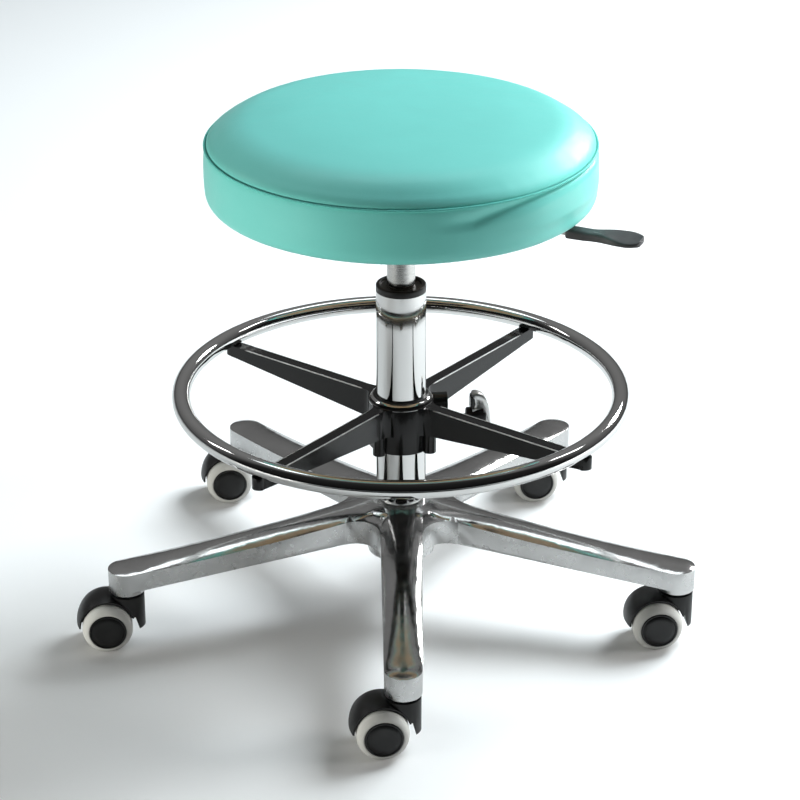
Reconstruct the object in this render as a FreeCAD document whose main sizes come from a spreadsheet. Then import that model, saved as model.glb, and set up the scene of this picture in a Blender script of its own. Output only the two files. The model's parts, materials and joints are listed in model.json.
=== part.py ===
import FreeCAD, Part
import math
import os
import re
import Sketcher
from FreeCAD import Placement, Rotation, Vector

# Dentist stool on five twin-wheel casters: a round upholstered seat on a gas spring, a column in a cast
# five-leg star base, and a foot ring that slides and turns on the column.
#
# Frame: +Z up, floor at z = 0, the column's axis is the Z axis, the front is -Y. Everything is drawn at
# its resting place: seat at working height, ring clamped, lever released, casters trailing to -X.

# Every driving dimension, in millimetres or degrees, with what it measures.
DIMENSIONS = {
    # star base
    "leg_count": (5, "legs of the star base"),
    "caster_circle": (288.5, "column axis to each caster stem"),
    "leg_tip_width": (18, "half width of a leg at its caster"),
    "leg_root_width": (21.5, "half width of a leg at the hub"),
    "leg_crest_root": (113.4, "height of a leg's crest at leg_root"),
    "leg_crest_middle": (99.5, "height of a leg's crest at leg_middle"),
    "leg_crest_tip": (84.2, "height of a leg's crest over the caster stem"),
    "leg_crown_root": (2, "rise of the crown over the side walls at leg_root"),
    "leg_crown_middle": (5.4, "rise of the crown at leg_middle"),
    "leg_crown_tip": (1.9, "rise of the crown over the caster stem"),
    "leg_floor_root": (84.6, "height of a leg's lower edge at leg_root"),
    "leg_floor_middle": (74.2, "height of a leg's lower edge at leg_middle"),
    "leg_floor_tip": (62.5, "height of a leg's lower edge over the caster stem"),
    "leg_root": (30, "column axis to a leg's inner section"),
    "leg_middle": (152, "column axis to a leg's middle section"),
    "leg_wall": (4.5, "wall of the cast leg, open underneath"),
    "tip_bottom": (57, "height of the caster boss's lower face"),
    "web_fillet": (28, "plan radius between two legs"),
    "web_reach": (67, "column axis to where that radius meets the legs"),
    "hub_bottom": (58, "height of the base hub's lower face"),
    "hub_top": (115, "height of the base hub's collar"),
    "hub_radius": (34, "radius of the base hub"),
    "collar_radius": (30, "radius of the collar round the column"),
    # column
    "tube_radius": (25, "outside radius of the column tube"),
    "tube_wall": (2, "wall of the column tube"),
    "tube_top": (344, "height of the column tube's upper end"),
    "floor_plate": (4, "thickness of the plate that closes the tube's lower end"),
    "sleeve_bottom": (242, "height of the guide sleeve's lower end"),
    "collar_height": (7, "height of the sleeve's collar on top of the tube"),
    "running_gap": (0.05, "radial clearance of a running fit"),
    "face_gap": (0.3, "clearance between moving faces"),
    # gas spring
    "cylinder_radius": (14, "outside radius of the gas cylinder"),
    "cylinder_bore": (12, "bore radius of the gas cylinder"),
    "cylinder_bottom": (124, "height of the cylinder's lower end"),
    "cylinder_top": (425, "height of the cylinder's upper end"),
    "taper_start": (388, "height where the cylinder's taper starts"),
    "taper_radius": (13.2, "radius at the cylinder's tapered upper end"),
    "rod_radius": (5, "radius of the piston rod"),
    "stud_radius": (4, "radius of the rod's lower stud"),
    "rod_top": (254, "height of the piston rod's upper end"),
    "piston_height": (12, "height of the piston"),
    "bearing_height": (7, "height of the thrust bearing"),
    "buffer_height": (16, "height of the rubber buffer"),
    "buffer_radius": (11, "radius of the rubber buffer"),
    "pin_radius": (4, "radius of the release pin"),
    "pin_rise": (4, "rise of the release pin over the cylinder"),
    # seat
    "seat_radius": (190, "outside radius of the seat band"),
    "seat_bottom": (444.4, "height of the seat's lower edge"),
    "seam_height": (498.5, "height of the seam between the band and the top"),
    "crown_height": (526, "height of the seat's crown"),
    "cover_thickness": (1.5, "thickness of the padded vinyl cover"),
    "board_thickness": (12, "thickness of the plywood seat board"),
    "plate_side": (160, "side of the square mounting plate"),
    "plate_thickness": (3, "thickness of the mounting plate"),
    "screw_spacing": (130, "distance between the plate's screws"),
    # height lever
    "lever_angle": (-24, "bearing of the height lever, from +X towards +Y"),
    "lever_height": (432, "height of the lever rod's axis"),
    "lever_pivot": (55, "column axis to the lever's pivot pin"),
    "lever_rod": (3.5, "radius of the lever rod"),
    "lever_tip": (247.5, "column axis to the paddle's outer end"),
    "paddle_start": (172, "column axis to the paddle's inner end"),
    "paddle_thickness": (9.5, "thickness of the paddle at its inner end"),
    "paddle_grip": (20, "length of the rod inside the paddle"),
    # foot ring
    "ring_circle": (219.8, "radius of the foot ring's centre line"),
    "ring_tube": (9, "radius of the foot ring's tube"),
    "ring_height": (235.3, "height of the foot ring's centre line"),
    "ring_wall": (1.5, "wall of the foot ring's tube"),
    "clamp_angle": (7.3, "bearing of the clamp, half way between two arms"),
    "arm_width": (6.5, "half width of an arm"),
    "arm_top": (227, "height of an arm's flat top"),
    "arm_tip_depth": (12, "depth of an arm under the foot ring"),
    "arm_root_depth": (31.5, "depth of an arm beside the ring hub"),
    "foot_circle": (36, "column axis to the round foot under each arm's root"),
    "spider_bottom": (177.3, "height of the ring hub's lower face"),
    "spider_radius": (33, "radius of the ring hub"),
    "clamp_height": (202.7, "height of the clamping screw's axis"),
    # casters
    "wheel_radius": (25, "radius of a caster wheel"),
    "wheel_face": (28.8, "caster's middle plane to a wheel's outer face"),
    "wheel_disc": (18.5, "radius of a wheel's hub disc"),
    "web_half": (4, "half thickness of the hood's middle web"),
    "trail": (21, "caster stem to the wheels' axle"),
    "caster_heading": (6, "turn of each caster about its stem"),
    "axle_radius": (4, "radius of the wheels' axle"),
    "stem_radius": (5.5, "radius of a caster stem"),
    "hood_radius": (30.5, "outside radius of the hood about the axle, at its middle plane"),
    "hood_edge": (28, "outside radius of the hood about the axle, at its open sides"),
    "hood_bore": (26.5, "inside radius of the hood about the axle"),
    "hood_half": (17.5, "half width of the hood"),
    "hood_boss": (17, "radius of the hood's boss round the stem"),
    "hood_top": (55, "height of the hood's flat top round the stem"),
    "hood_skirt": (19.5, "height of the lower end of the hood's leg beside the stem"),
    "bevel": (1, "small bevel on turned and moulded edges"),
}

NAME = re.compile(r"[a-z_]+[a-z0-9_]*")
MINUTE = 1e-6

doc = FreeCAD.newDocument("dentist_stool")
sheet = doc.addObject("Spreadsheet::Sheet", "dims")
probe = doc.addObject("App::FeaturePython", "probe")
pieces = []


def fill_sheet():
    """One row for each dimension: what it measures and its value, which carries the alias."""
    for row, (name, (value, meaning)) in enumerate(DIMENSIONS.items(), start=1):
        sheet.set(f"A{row}", meaning)
        sheet.set(f"B{row}", str(value))
        sheet.setAlias(f"B{row}", name)
    probe.addProperty("App::PropertyFloat", "Value")
    doc.recompute()


def bound(formula):
    """The formula with every dimension's name pointed at the sheet."""
    return NAME.sub(lambda found: "dims." + found[0] if found[0] in DIMENSIONS else found[0], str(formula))


def number(formula):
    """The present value of a formula."""
    probe.setExpression("Value", bound(formula))
    if probe.recompute() is False or not probe.isValid():
        raise ValueError(f"{formula} has no value")
    return probe.Value


def new_body(label, at=("0", "0", "0"), turn=Rotation()):
    """An empty sub-part. Its place is bound to the sheet, and its label names its file."""
    body = doc.addObject("PartDesign::Body", label)
    body.Label = label
    body.Placement = Placement(Vector(*(number(each) for each in at)), turn)
    for letter, formula in zip("xyz", at):
        body.setExpression("Placement.Base." + letter, bound(formula))
    pieces.append(body)
    return body


def new_sketch(body, name, plane, offset="0", along="0", spin=0):
    """A sketch on one of the body's own planes.

    It is moved along the plane's normal by the offset and along the sketch's own X by along, and an
    upright sketch can spin about its own upright axis, in degrees.
    """
    sketch = body.newObject("Sketcher::SketchObject", name)
    origin_plane = next(each for each in body.Origin.OriginFeatures if each.Role == plane)
    sketch.AttachmentSupport = [(origin_plane, "")]
    sketch.MapMode = "FlatFace"
    start = Vector(number(along), 0, number(offset))
    sketch.AttachmentOffset = Placement(start, Rotation(Vector(0, 1, 0), spin))
    sketch.setExpression("AttachmentOffset.Base.x", bound(along))
    sketch.setExpression("AttachmentOffset.Base.z", bound(offset))
    return sketch


def tie(sketch, kind, geometry, point, formula):
    """Hold a point of the sketch at a distance along one axis from the sketch's origin."""
    value = number(formula)
    if abs(value) < MINUTE:
        axis = -2 if kind == "DistanceX" else -1
        sketch.addConstraint(Sketcher.Constraint("PointOnObject", geometry, point, axis))
        return
    index = sketch.addConstraint(Sketcher.Constraint(kind, -1, 1, geometry, point, value))
    sketch.setExpression(f"Constraints[{index}]", bound(formula))


def draw_outline(sketch, points):
    """A closed outline. Each point is (x, y), or (x, y, radius) where an arc arrives at it.

    The arc turns left for a positive radius and right for a negative one, and is less than a half circle.
    """
    places = [Vector(number(point[0]), number(point[1]), 0) for point in points]
    first = sketch.GeometryCount
    for index, point in enumerate(points):
        start, end = places[index - 1], places[index]
        if len(point) == 2:
            sketch.addGeometry(Part.LineSegment(start, end), False)
            continue
        radius = number(point[2])
        chord = end - start
        side = Vector(-chord.y, chord.x, 0).normalize()
        height = math.sqrt(max(radius * radius - chord.Length ** 2 / 4, 0))
        centre = (start + end) * 0.5 + side * math.copysign(height, radius)
        from_point, to_point = (start, end) if radius > 0 else (end, start)
        angles = [math.atan2(each.y - centre.y, each.x - centre.x) for each in (from_point, to_point)]
        if angles[1] <= angles[0]:
            angles[1] += 2 * math.pi
        circle = Part.Circle(centre, Vector(0, 0, 1), abs(radius))
        sketch.addGeometry(Part.ArcOfCircle(circle, *angles), False)
    count = len(points)
    for index, point in enumerate(points):
        this, following = first + index, first + (index + 1) % count
        end_point = 1 if len(point) == 3 and number(point[2]) < 0 else 2
        after = points[(index + 1) % count]
        start_point = 2 if len(after) == 3 and number(after[2]) < 0 else 1
        sketch.addConstraint(Sketcher.Constraint("Coincident", this, end_point, following, start_point))
        tie(sketch, "DistanceX", this, end_point, point[0])
        tie(sketch, "DistanceY", this, end_point, point[1])
        if len(point) == 3:
            formula = f"abs({point[2]})"
            held = sketch.addConstraint(Sketcher.Constraint("Radius", this, number(formula)))
            sketch.setExpression(f"Constraints[{held}]", bound(formula))


def draw_circle(sketch, radius, x="0", y="0"):
    """A circle held at its centre and by its radius."""
    circle = Part.Circle(Vector(number(x), number(y), 0), Vector(0, 0, 1), number(radius))
    index = sketch.addGeometry(circle, False)
    if number(x) == 0 and number(y) == 0:
        sketch.addConstraint(Sketcher.Constraint("Coincident", index, 3, -1, 1))
    else:
        tie(sketch, "DistanceX", index, 3, x)
        tie(sketch, "DistanceY", index, 3, y)
    held = sketch.addConstraint(Sketcher.Constraint("Radius", index, number(radius)))
    sketch.setExpression(f"Constraints[{held}]", bound(radius))


def revolved(body, name, sketch, points, kind="Revolution"):
    """Turn an outline about its sketch's own upright axis."""
    draw_outline(sketch, points)
    feature = body.newObject("PartDesign::" + kind, name)
    feature.Profile = sketch
    feature.ReferenceAxis = (sketch, ["V_Axis"])
    feature.Angle = 360
    doc.recompute()
    return feature


def turned(body, name, points, kind="Revolution", axis_x="0", axis_y="0"):
    """Turn an outline of (radius, height) points about an upright axis."""
    sketch = new_sketch(body, name + "_profile", "XZ_Plane", f"-({axis_y})", axis_x)
    return revolved(body, name, sketch, points, kind)


def ring_profile(inner, outer, bottom, top, bevel="0"):
    """The section of a plain ring, with its outer edges bevelled."""
    if number(bevel) == 0:
        return [(inner, bottom), (outer, bottom), (outer, top), (inner, top)]
    return [
        (inner, bottom),
        (f"{outer} - {bevel}", bottom),
        (outer, f"{bottom} + {bevel}"),
        (outer, f"{top} - {bevel}"),
        (f"{outer} - {bevel}", top),
        (inner, top),
    ]


def extruded(body, name, sketch, length, kind="Pad", both_sides=False, reverse=False):
    """Pad or pocket a sketch by a length."""
    feature = body.newObject("PartDesign::" + kind, name)
    feature.Profile = sketch
    feature.setExpression("Length", bound(length))
    feature.Midplane = both_sides
    feature.Reversed = reverse
    doc.recompute()
    return feature


def drilled(body, name, radius, bottom, depth, x="0", y="0"):
    """A round blind hole upwards from a height."""
    sketch = new_sketch(body, name + "_circle", "XY_Plane", bottom)
    draw_circle(sketch, radius, x, y)
    return extruded(body, name, sketch, depth, "Pocket", reverse=True)


def repeated(body, name, features, count):
    """Repeat features round the body's Z axis."""
    pattern = body.newObject("PartDesign::PolarPattern", name)
    pattern.Originals = features
    pattern.Axis = (next(each for each in body.Origin.OriginFeatures if each.Role == "Z_Axis"), [""])
    pattern.Angle = 360
    pattern.setExpression("Occurrences", bound(count))
    body.Tip = pattern
    doc.recompute()
    return pattern


def lofted(body, name, sections, kind="AdditiveLoft"):
    """A smooth body through sections, each a distance along X and an outline of (y, z) points."""
    sketches = []
    for index, (distance, points) in enumerate(sections):
        sketch = new_sketch(body, f"{name}_section_{index}", "YZ_Plane", distance)
        draw_outline(sketch, points)
        sketches.append(sketch)
    feature = body.newObject("PartDesign::" + kind, name)
    feature.Profile = sketches[0]
    feature.Sections = sketches[1:]
    doc.recompute()
    return feature


# ---------------------------------------------------------------- star base and column

def crease_at(radius):
    """Height of the edge between a leg's side wall and its crown, between the root and the middle."""
    fall = "(leg_crest_root - leg_crown_root - leg_crest_middle + leg_crown_middle)"
    return f"leg_crest_root - leg_crown_root - ({radius} - leg_root) * {fall} / (leg_middle - leg_root)"


def leg_floor_at(radius):
    """Height of a leg's lower edge, between the root and the middle."""
    fall = "(leg_floor_root - leg_floor_middle)"
    return f"leg_floor_root - ({radius} - leg_root) * {fall} / (leg_middle - leg_root)"


def leg_section(half_width, floor, crest, crown):
    """A leg's section: upright walls and an arched crown."""
    arch = f"({half_width} * {half_width} + {crown} * {crown}) / (2 * {crown})"
    return [
        (f"-({half_width})", floor),
        (half_width, floor),
        (half_width, f"{crest} - {crown}"),
        (f"-({half_width})", f"{crest} - {crown}", arch),
    ]


def leg_hollow(half_width, floor, crest, crown):
    """The section of the space under a leg, open downwards."""
    half = f"({half_width} - leg_wall)"
    roof = f"{crest} - {crown} - leg_wall"
    return [(f"-{half}", f"{floor} - 4"), (half, f"{floor} - 4"), (half, roof), (f"-{half}", roof)]


def web_outline():
    """The plan of the star's middle: straight across each leg, with a hollow arc between two legs."""
    points = []
    step = "(360 / leg_count)"
    half = "(leg_root_width - 0.5)"
    for leg in range(number_of("leg_count")):
        turn = f"({leg} * {step})"
        for side in (-1, 1):
            across = f"({side} * {half})"
            x = f"web_reach * cos({turn}) - {across} * sin({turn})"
            y = f"web_reach * sin({turn}) + {across} * cos({turn})"
            points.append((x, y) if side == 1 else (x, y, "-web_fillet"))
    return points


def number_of(formula):
    """A whole number from the sheet."""
    return int(round(number(formula)))


def make_star_base():
    """The cast aluminium base. One leg points to the front."""
    body = new_body("star_base", turn=Rotation(Vector(0, 0, 1), -90))
    web = new_sketch(body, "web_plan", "XY_Plane", "hub_bottom")
    draw_outline(web, web_outline())
    extruded(body, "web", web, "hub_top - hub_bottom + 5")
    reach, above, below = "(web_reach + 20)", "hub_top + 10", "hub_bottom - 5"
    turned(body, "web_roof", [
        ("0", crease_at("0")), (reach, crease_at(reach)), (reach, above), ("0", above)], "Groove")
    turned(body, "web_floor", [
        ("0", below), (reach, below), (reach, leg_floor_at(reach)), ("0", leg_floor_at("0"))], "Groove")
    turned(body, "hub", [
        ("0", "hub_bottom"),
        ("hub_radius", "hub_bottom"),
        ("hub_radius + 2", leg_floor_at("hub_radius") + " - 6"),
        ("hub_radius + 8", crease_at("(hub_radius + 8)") + " + 1.5"),
        ("collar_radius", "hub_top"),
        ("0", "hub_top")])
    leg = lofted(body, "leg", [
        ("leg_root", leg_section("leg_root_width", "leg_floor_root", "leg_crest_root", "leg_crown_root")),
        ("leg_middle", leg_section(
            "(leg_root_width / 2 + leg_tip_width / 2)", "leg_floor_middle", "leg_crest_middle",
            "leg_crown_middle")),
        ("caster_circle", leg_section("leg_tip_width", "leg_floor_tip", "leg_crest_tip", "leg_crown_tip")),
    ])
    arch = "(leg_tip_width * leg_tip_width + leg_crown_tip * leg_crown_tip) / (2 * leg_crown_tip)"
    tip = turned(body, "leg_end", [
        ("0", "tip_bottom"),
        ("leg_tip_width - bevel * 1.5", "tip_bottom"),
        ("leg_tip_width", "tip_bottom + bevel * 1.5"),
        ("leg_tip_width", "leg_crest_tip - leg_crown_tip"),
        ("0", "leg_crest_tip", arch)], axis_x="caster_circle")
    repeated(body, "legs", [leg, tip], "leg_count")
    drilled(body, "column_bore", "tube_radius", "hub_bottom", "hub_top - hub_bottom + 5")
    start, end = "hub_radius + 14", "(caster_circle - leg_tip_width - 3)"
    hollow = lofted(body, "leg_hollow", [
        (start, leg_hollow(
            "leg_root_width", leg_floor_at(f"({start})"), f"({crease_at(f'({start})')})", "bevel")),
        ("leg_middle", leg_hollow(
            "(leg_root_width / 2 + leg_tip_width / 2)", "leg_floor_middle", "leg_crest_middle",
            "leg_crown_middle")),
        (end, leg_hollow(
            "leg_tip_width", "leg_floor_tip", "leg_crest_tip", "leg_crown_tip")),
    ], "SubtractiveLoft")
    repeated(body, "leg_hollows", [hollow], "leg_count")
    socket = drilled(body, "stem_socket", "stem_radius", "tip_bottom", "22", "caster_circle")
    repeated(body, "stem_sockets", [socket], "leg_count")


def make_caster_stems():
    """Five steel stems, pressed into the leg ends, that the casters turn on."""
    body = new_body("caster_stems", turn=Rotation(Vector(0, 0, 1), -90))
    body.AllowCompound = True
    stem = turned(body, "stem", [
        ("0", "hood_top - 10.5"),
        ("stem_radius", "hood_top - 10.5"),
        ("stem_radius", "hood_top + face_gap"),
        ("stem_radius + 3", "hood_top + face_gap"),
        ("stem_radius + 3", "tip_bottom"),
        ("stem_radius", "tip_bottom"),
        ("stem_radius", "tip_bottom + 20"),
        ("stem_radius - bevel", "tip_bottom + 21"),
        ("0", "tip_bottom + 21")], axis_x="caster_circle")
    repeated(body, "stems", [stem], "leg_count")


def make_column_tube():
    """The chromed column tube, closed below by a plate that carries the gas spring."""
    body = new_body("column_tube")
    bore = "tube_radius - tube_wall"
    turned(body, "tube", [
        ("stud_radius + running_gap", "hub_bottom + 2"),
        ("tube_radius", "hub_bottom + 2"),
        ("tube_radius", "tube_top"),
        (bore, "tube_top"),
        (bore, "hub_bottom + 2 + floor_plate"),
        ("stud_radius + running_gap", "hub_bottom + 2 + floor_plate")])


def make_guide_sleeve():
    """The plastic sleeve that guides the gas cylinder, with its collar on top of the tube."""
    body = new_body("guide_sleeve")
    bore = "cylinder_radius + running_gap"
    turned(body, "sleeve", [
        (bore, "sleeve_bottom"),
        ("tube_radius - tube_wall", "sleeve_bottom"),
        ("tube_radius - tube_wall", "tube_top"),
        ("tube_radius", "tube_top"),
        ("tube_radius", "tube_top + collar_height - bevel"),
        ("tube_radius - bevel", "tube_top + collar_height"),
        ("tube_radius - 4", "tube_top + collar_height"),
        ("tube_radius - 4.5", "tube_top + collar_height - 2.5"),
        (bore, "tube_top + collar_height - 2.5")])


def make_thrust_bearing():
    """Two steel races with a ring of balls between them, under the gas spring."""
    body = new_body("thrust_bearing")
    body.AllowCompound = True
    floor = "hub_bottom + 2 + floor_plate"
    inner, outer = "stud_radius + running_gap", "buffer_radius - bevel"
    turned(body, "lower_race", ring_profile(inner, outer, floor, f"{floor} + 1.5"))
    turned(body, "upper_race", ring_profile(
        inner, outer, f"{floor} + bearing_height - 1.5", f"{floor} + bearing_height"))
    middle, ball = f"{floor} + bearing_height / 2", "(bearing_height / 2 - 1.52)"
    drop, top = f"{middle} - {ball}", f"{middle} + {ball}"
    first = turned(body, "ball", [("0", drop), (ball, middle, ball), ("0", top, ball)],
                   axis_x="stud_radius + 3.2")
    repeated(body, "balls", [first], "8")


# ---------------------------------------------------------------- gas spring

def make_piston_rod():
    """The rod of the gas spring. Its lower stud goes through the column's floor plate."""
    body = new_body("piston_rod")
    foot, plate = "hub_bottom - 3", "hub_bottom + 2"
    shoulder = f"{plate} + floor_plate + bearing_height + face_gap"
    turned(body, "rod", [
        ("0", foot),
        ("stud_radius", foot),
        ("stud_radius", f"{plate} - face_gap - 1.5"),
        ("stud_radius - bevel", f"{plate} - face_gap - 1.5"),
        ("stud_radius - bevel", f"{plate} - face_gap"),
        ("stud_radius", f"{plate} - face_gap"),
        ("stud_radius", shoulder),
        ("rod_radius", shoulder),
        ("rod_radius", "rod_top"),
        ("0", "rod_top")])


def make_rod_clip():
    """The spring clip that keeps the rod's stud in the column."""
    body = new_body("rod_clip")
    top = "hub_bottom + 2 - face_gap"
    turned(body, "ring", ring_profile("stud_radius - bevel", "stud_radius + 3.5", f"{top} - 1.5", top))
    gap = new_sketch(body, "gap_plan", "XY_Plane", f"{top} - 2")
    draw_outline(gap, [("0", "-2"), ("9", "-2"), ("9", "2"), ("0", "2")])
    extruded(body, "gap", gap, "3", "Pocket", reverse=True)


def make_rod_parts():
    """The rubber buffer at the rod's foot and the piston at its head."""
    buffer = new_body("rubber_buffer")
    base = "hub_bottom + 2 + floor_plate + bearing_height + face_gap"
    turned(buffer, "ring", ring_profile(
        "rod_radius", "buffer_radius", base, f"{base} + buffer_height", "bevel"))
    piston = new_body("piston")
    turned(piston, "ring", ring_profile(
        "rod_radius", "cylinder_bore - running_gap", "rod_top - piston_height", "rod_top"))


def make_gas_cylinder():
    """The gas spring's cylinder, tapered at the top where the seat's socket grips it."""
    body = new_body("gas_cylinder")
    turned(body, "wall", [
        ("cylinder_bore", "cylinder_bottom"),
        ("cylinder_radius - bevel", "cylinder_bottom"),
        ("cylinder_radius", "cylinder_bottom + bevel"),
        ("cylinder_radius", "taper_start"),
        ("taper_radius", "cylinder_top"),
        ("cylinder_bore", "cylinder_top")])


def make_cylinder_ends():
    """The rod guide that closes the cylinder below, and the valve body that closes it above."""
    guide = new_body("rod_guide")
    turned(guide, "ring", ring_profile(
        "rod_radius + running_gap", "cylinder_bore", "cylinder_bottom", "cylinder_bottom + 15"))
    valve = new_body("valve_body")
    turned(valve, "ring", ring_profile(
        "pin_radius + running_gap", "cylinder_bore", "cylinder_top - 20", "cylinder_top"))


def make_release_pin():
    """The pin that opens the gas valve when the lever presses it down."""
    body = new_body("release_pin")
    turned(body, "pin", ring_profile(
        "0", "pin_radius", "cylinder_top - 16", "cylinder_top + pin_rise", "bevel"))


# ---------------------------------------------------------------- seat

def plate_bottom():
    """Height of the mounting plate's lower face."""
    return "seat_bottom + cover_thickness - plate_thickness"


def make_taper_socket():
    """The steel cup that grips the gas cylinder's taper, with a window for the height lever."""
    body = new_body("taper_socket", turn=Rotation(Vector(0, 0, 1), number("lever_angle")))
    turned(body, "cup", [
        ("cylinder_radius", "taper_start"),
        ("cylinder_radius + 5", "taper_start"),
        ("cylinder_radius + 6", "taper_start + 1"),
        ("cylinder_radius + 6", plate_bottom() + " - 4"),
        ("cylinder_radius + 10", plate_bottom()),
        ("taper_radius", plate_bottom()),
        ("taper_radius", "cylinder_top")])
    window = new_sketch(body, "window_plan", "XY_Plane", "cylinder_top - 3")
    draw_outline(window, [("2", "-6.5"), ("30", "-6.5"), ("30", "6.5"), ("2", "6.5")])
    extruded(body, "window", window, "30", "Pocket", reverse=True)


def make_mounting_plate():
    """The square plate under the seat board, with two lugs for the lever's pivot pin."""
    body = new_body("mounting_plate", turn=Rotation(Vector(0, 0, 1), number("lever_angle")))
    plate = new_sketch(body, "plate_plan", "XY_Plane", plate_bottom())
    half, cut = "(plate_side / 2)", "(plate_side / 2 - 12)"
    corners = []
    for x_sign, y_sign in ((-1, -1), (1, -1), (1, 1), (-1, 1)):
        first = (f"{x_sign} * {half}", f"{y_sign} * {cut}")
        second = (f"{x_sign} * {cut}", f"{y_sign} * {half}")
        entering, leaving = (first, second) if x_sign * y_sign > 0 else (second, first)
        corners += [entering, leaving + ("12",)]
    draw_outline(plate, corners)
    extruded(body, "plate", plate, "plate_thickness")
    for side, name in ((-1, "right_lug"), (1, "left_lug")):
        lug = new_sketch(body, name + "_side", "XZ_Plane", f"{side} * 8")
        left, right, foot = "lever_pivot - 9", "lever_pivot + 9", "lever_height"
        draw_outline(lug, [
            (left, foot),
            ("lever_pivot", f"{foot} - 9", "9"),
            (right, foot, "9"),
            (right, plate_bottom()),
            (left, plate_bottom())])
        extruded(body, name, lug, "4", both_sides=True)
    eye = new_sketch(body, "eye_side", "XZ_Plane")
    draw_circle(eye, "2.5", "lever_pivot", "lever_height")
    extruded(body, "eyes", eye, "30", "Pocket", both_sides=True)
    for x_sign in (-1, 1):
        for y_sign in (-1, 1):
            drilled(body, "screw_hole", "3", f"{plate_bottom()} - 1", "plate_thickness + 2",
                    f"{x_sign} * screw_spacing / 2", f"{y_sign} * screw_spacing / 2")


def make_plate_screws():
    """Four pan-head screws that hold the plate to the seat board."""
    body = new_body("plate_screws", turn=Rotation(Vector(0, 0, 1), number("lever_angle")))
    body.AllowCompound = True
    head = plate_bottom()
    for x_sign in (-1, 1):
        for y_sign in (-1, 1):
            x, y = f"{x_sign} * screw_spacing / 2", f"{y_sign} * screw_spacing / 2"
            disc = new_sketch(body, "head_plan", "XY_Plane", f"{head} - 3")
            draw_circle(disc, "6", x, y)
            extruded(body, "head", disc, "3")
            shank = new_sketch(body, "shank_plan", "XY_Plane", head)
            draw_circle(shank, "3", x, y)
            extruded(body, "shank", shank, "plate_thickness + board_thickness - 3")


def make_lever_pivot_pin():
    """The cross pin that the height lever turns on."""
    turn = Rotation(Vector(0, 0, 1), number("lever_angle")) * Rotation(Vector(1, 0, 0), 90)
    at = ("lever_pivot * cos(lever_angle)", "lever_pivot * sin(lever_angle)", "lever_height")
    body = new_body("lever_pivot_pin", at, turn)
    turned(body, "pin", ring_profile("0", "2.5", "-11", "11"))


def make_seat_board():
    """The plywood disc that carries the upholstery."""
    body = new_body("seat_board", turn=Rotation(Vector(0, 0, 1), number("lever_angle")))
    bottom = "seat_bottom + cover_thickness"
    turned(body, "disc", ring_profile("0", "seat_radius - 8", bottom, f"{bottom} + board_thickness"))
    for x_sign in (-1, 1):
        for y_sign in (-1, 1):
            drilled(body, "pilot_hole", "3", bottom, "board_thickness - 3",
                    f"{x_sign} * screw_spacing / 2", f"{y_sign} * screw_spacing / 2")


def dome_radius(reach, rise):
    """Radius of the ball whose cap has this reach from its axis and this rise."""
    return f"(({reach})^2 + ({rise})^2) / (2 * ({rise}))"


def make_upholstery():
    """The foam, the padded band round it, the welt in the seam, and the top cover."""
    inner, low = "seat_radius - cover_thickness", "seat_bottom + cover_thickness"
    board_top, board_edge = f"{low} + board_thickness", "seat_radius - 8"
    welt_low, welt_high = "seam_height - 1", "seam_height + 1"
    slope, slope_top = "seat_radius - 14", "seam_height + 12.2"
    shoulder, rise = "seat_radius - 40", "crown_height - 3.8"
    under_slope, under_slope_top = f"{slope} - 1", f"{slope_top} - cover_thickness"
    under_rise = f"{rise} - cover_thickness"
    under_crown = "crown_height - cover_thickness"
    crown = dome_radius(shoulder, "3.8")
    foam = new_body("seat_foam")
    turned(foam, "pad", [
        ("0", board_top),
        (board_edge, board_top),
        (board_edge, low),
        (f"{inner} - 3.5", low),
        (inner, f"{low} + 3.5"),
        (inner, welt_high),
        (under_slope, under_slope_top, "30"),
        (shoulder, under_rise, "50"),
        ("0", under_crown, crown)])
    band = new_body("seat_band")
    turned(band, "wrap", [
        ("seat_radius - 20", "seat_bottom"),
        ("seat_radius - 6", "seat_bottom"),
        ("seat_radius", "seat_bottom + 6", "6"),
        ("seat_radius", welt_low),
        (inner, welt_low),
        (inner, f"{low} + 3.5"),
        (f"{inner} - 3.5", low),
        ("seat_radius - 20", low)])
    welt = new_body("seat_piping")
    turned(welt, "welt", [
        (inner, welt_low),
        ("seat_radius", welt_low),
        ("seat_radius", welt_high, "1.2"),
        (inner, welt_high)])
    cover = new_body("seat_cover_top")
    turned(cover, "cover", [
        (inner, welt_high, "-30"),
        ("seat_radius", welt_high),
        (slope, slope_top, "30"),
        (shoulder, rise, "50"),
        ("0", "crown_height", crown),
        ("0", under_crown),
        (shoulder, under_rise, f"-({crown})"),
        (under_slope, under_slope_top, "-50")])


# ---------------------------------------------------------------- height lever

def make_lever_rod():
    """The steel rod of the height lever: an eye on the pivot pin and a flat over the release pin."""
    turn = Rotation(Vector(0, 0, 1), number("lever_angle"))
    body = new_body("lever_rod", turn=turn)
    circle = new_sketch(body, "rod_section", "YZ_Plane", "-5")
    draw_circle(circle, "lever_rod", "0", "lever_height")
    extruded(body, "rod", circle, "paddle_start + paddle_grip + 5")
    boss = new_sketch(body, "boss_side", "XZ_Plane")
    draw_circle(boss, "lever_rod + 3", "lever_pivot", "lever_height")
    extruded(body, "boss", boss, "11", both_sides=True)
    flat = new_sketch(body, "flat_side", "XZ_Plane")
    under = "cylinder_top + pin_rise + face_gap"
    draw_outline(flat, [("-8", "cylinder_top"), ("18", "cylinder_top"), ("18", under), ("-8", under)])
    extruded(body, "flat", flat, "20", "Pocket", both_sides=True)
    eye = new_sketch(body, "eye_side", "XZ_Plane")
    draw_circle(eye, "2.5 + running_gap", "lever_pivot", "lever_height")
    extruded(body, "eye", eye, "20", "Pocket", both_sides=True)


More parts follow.
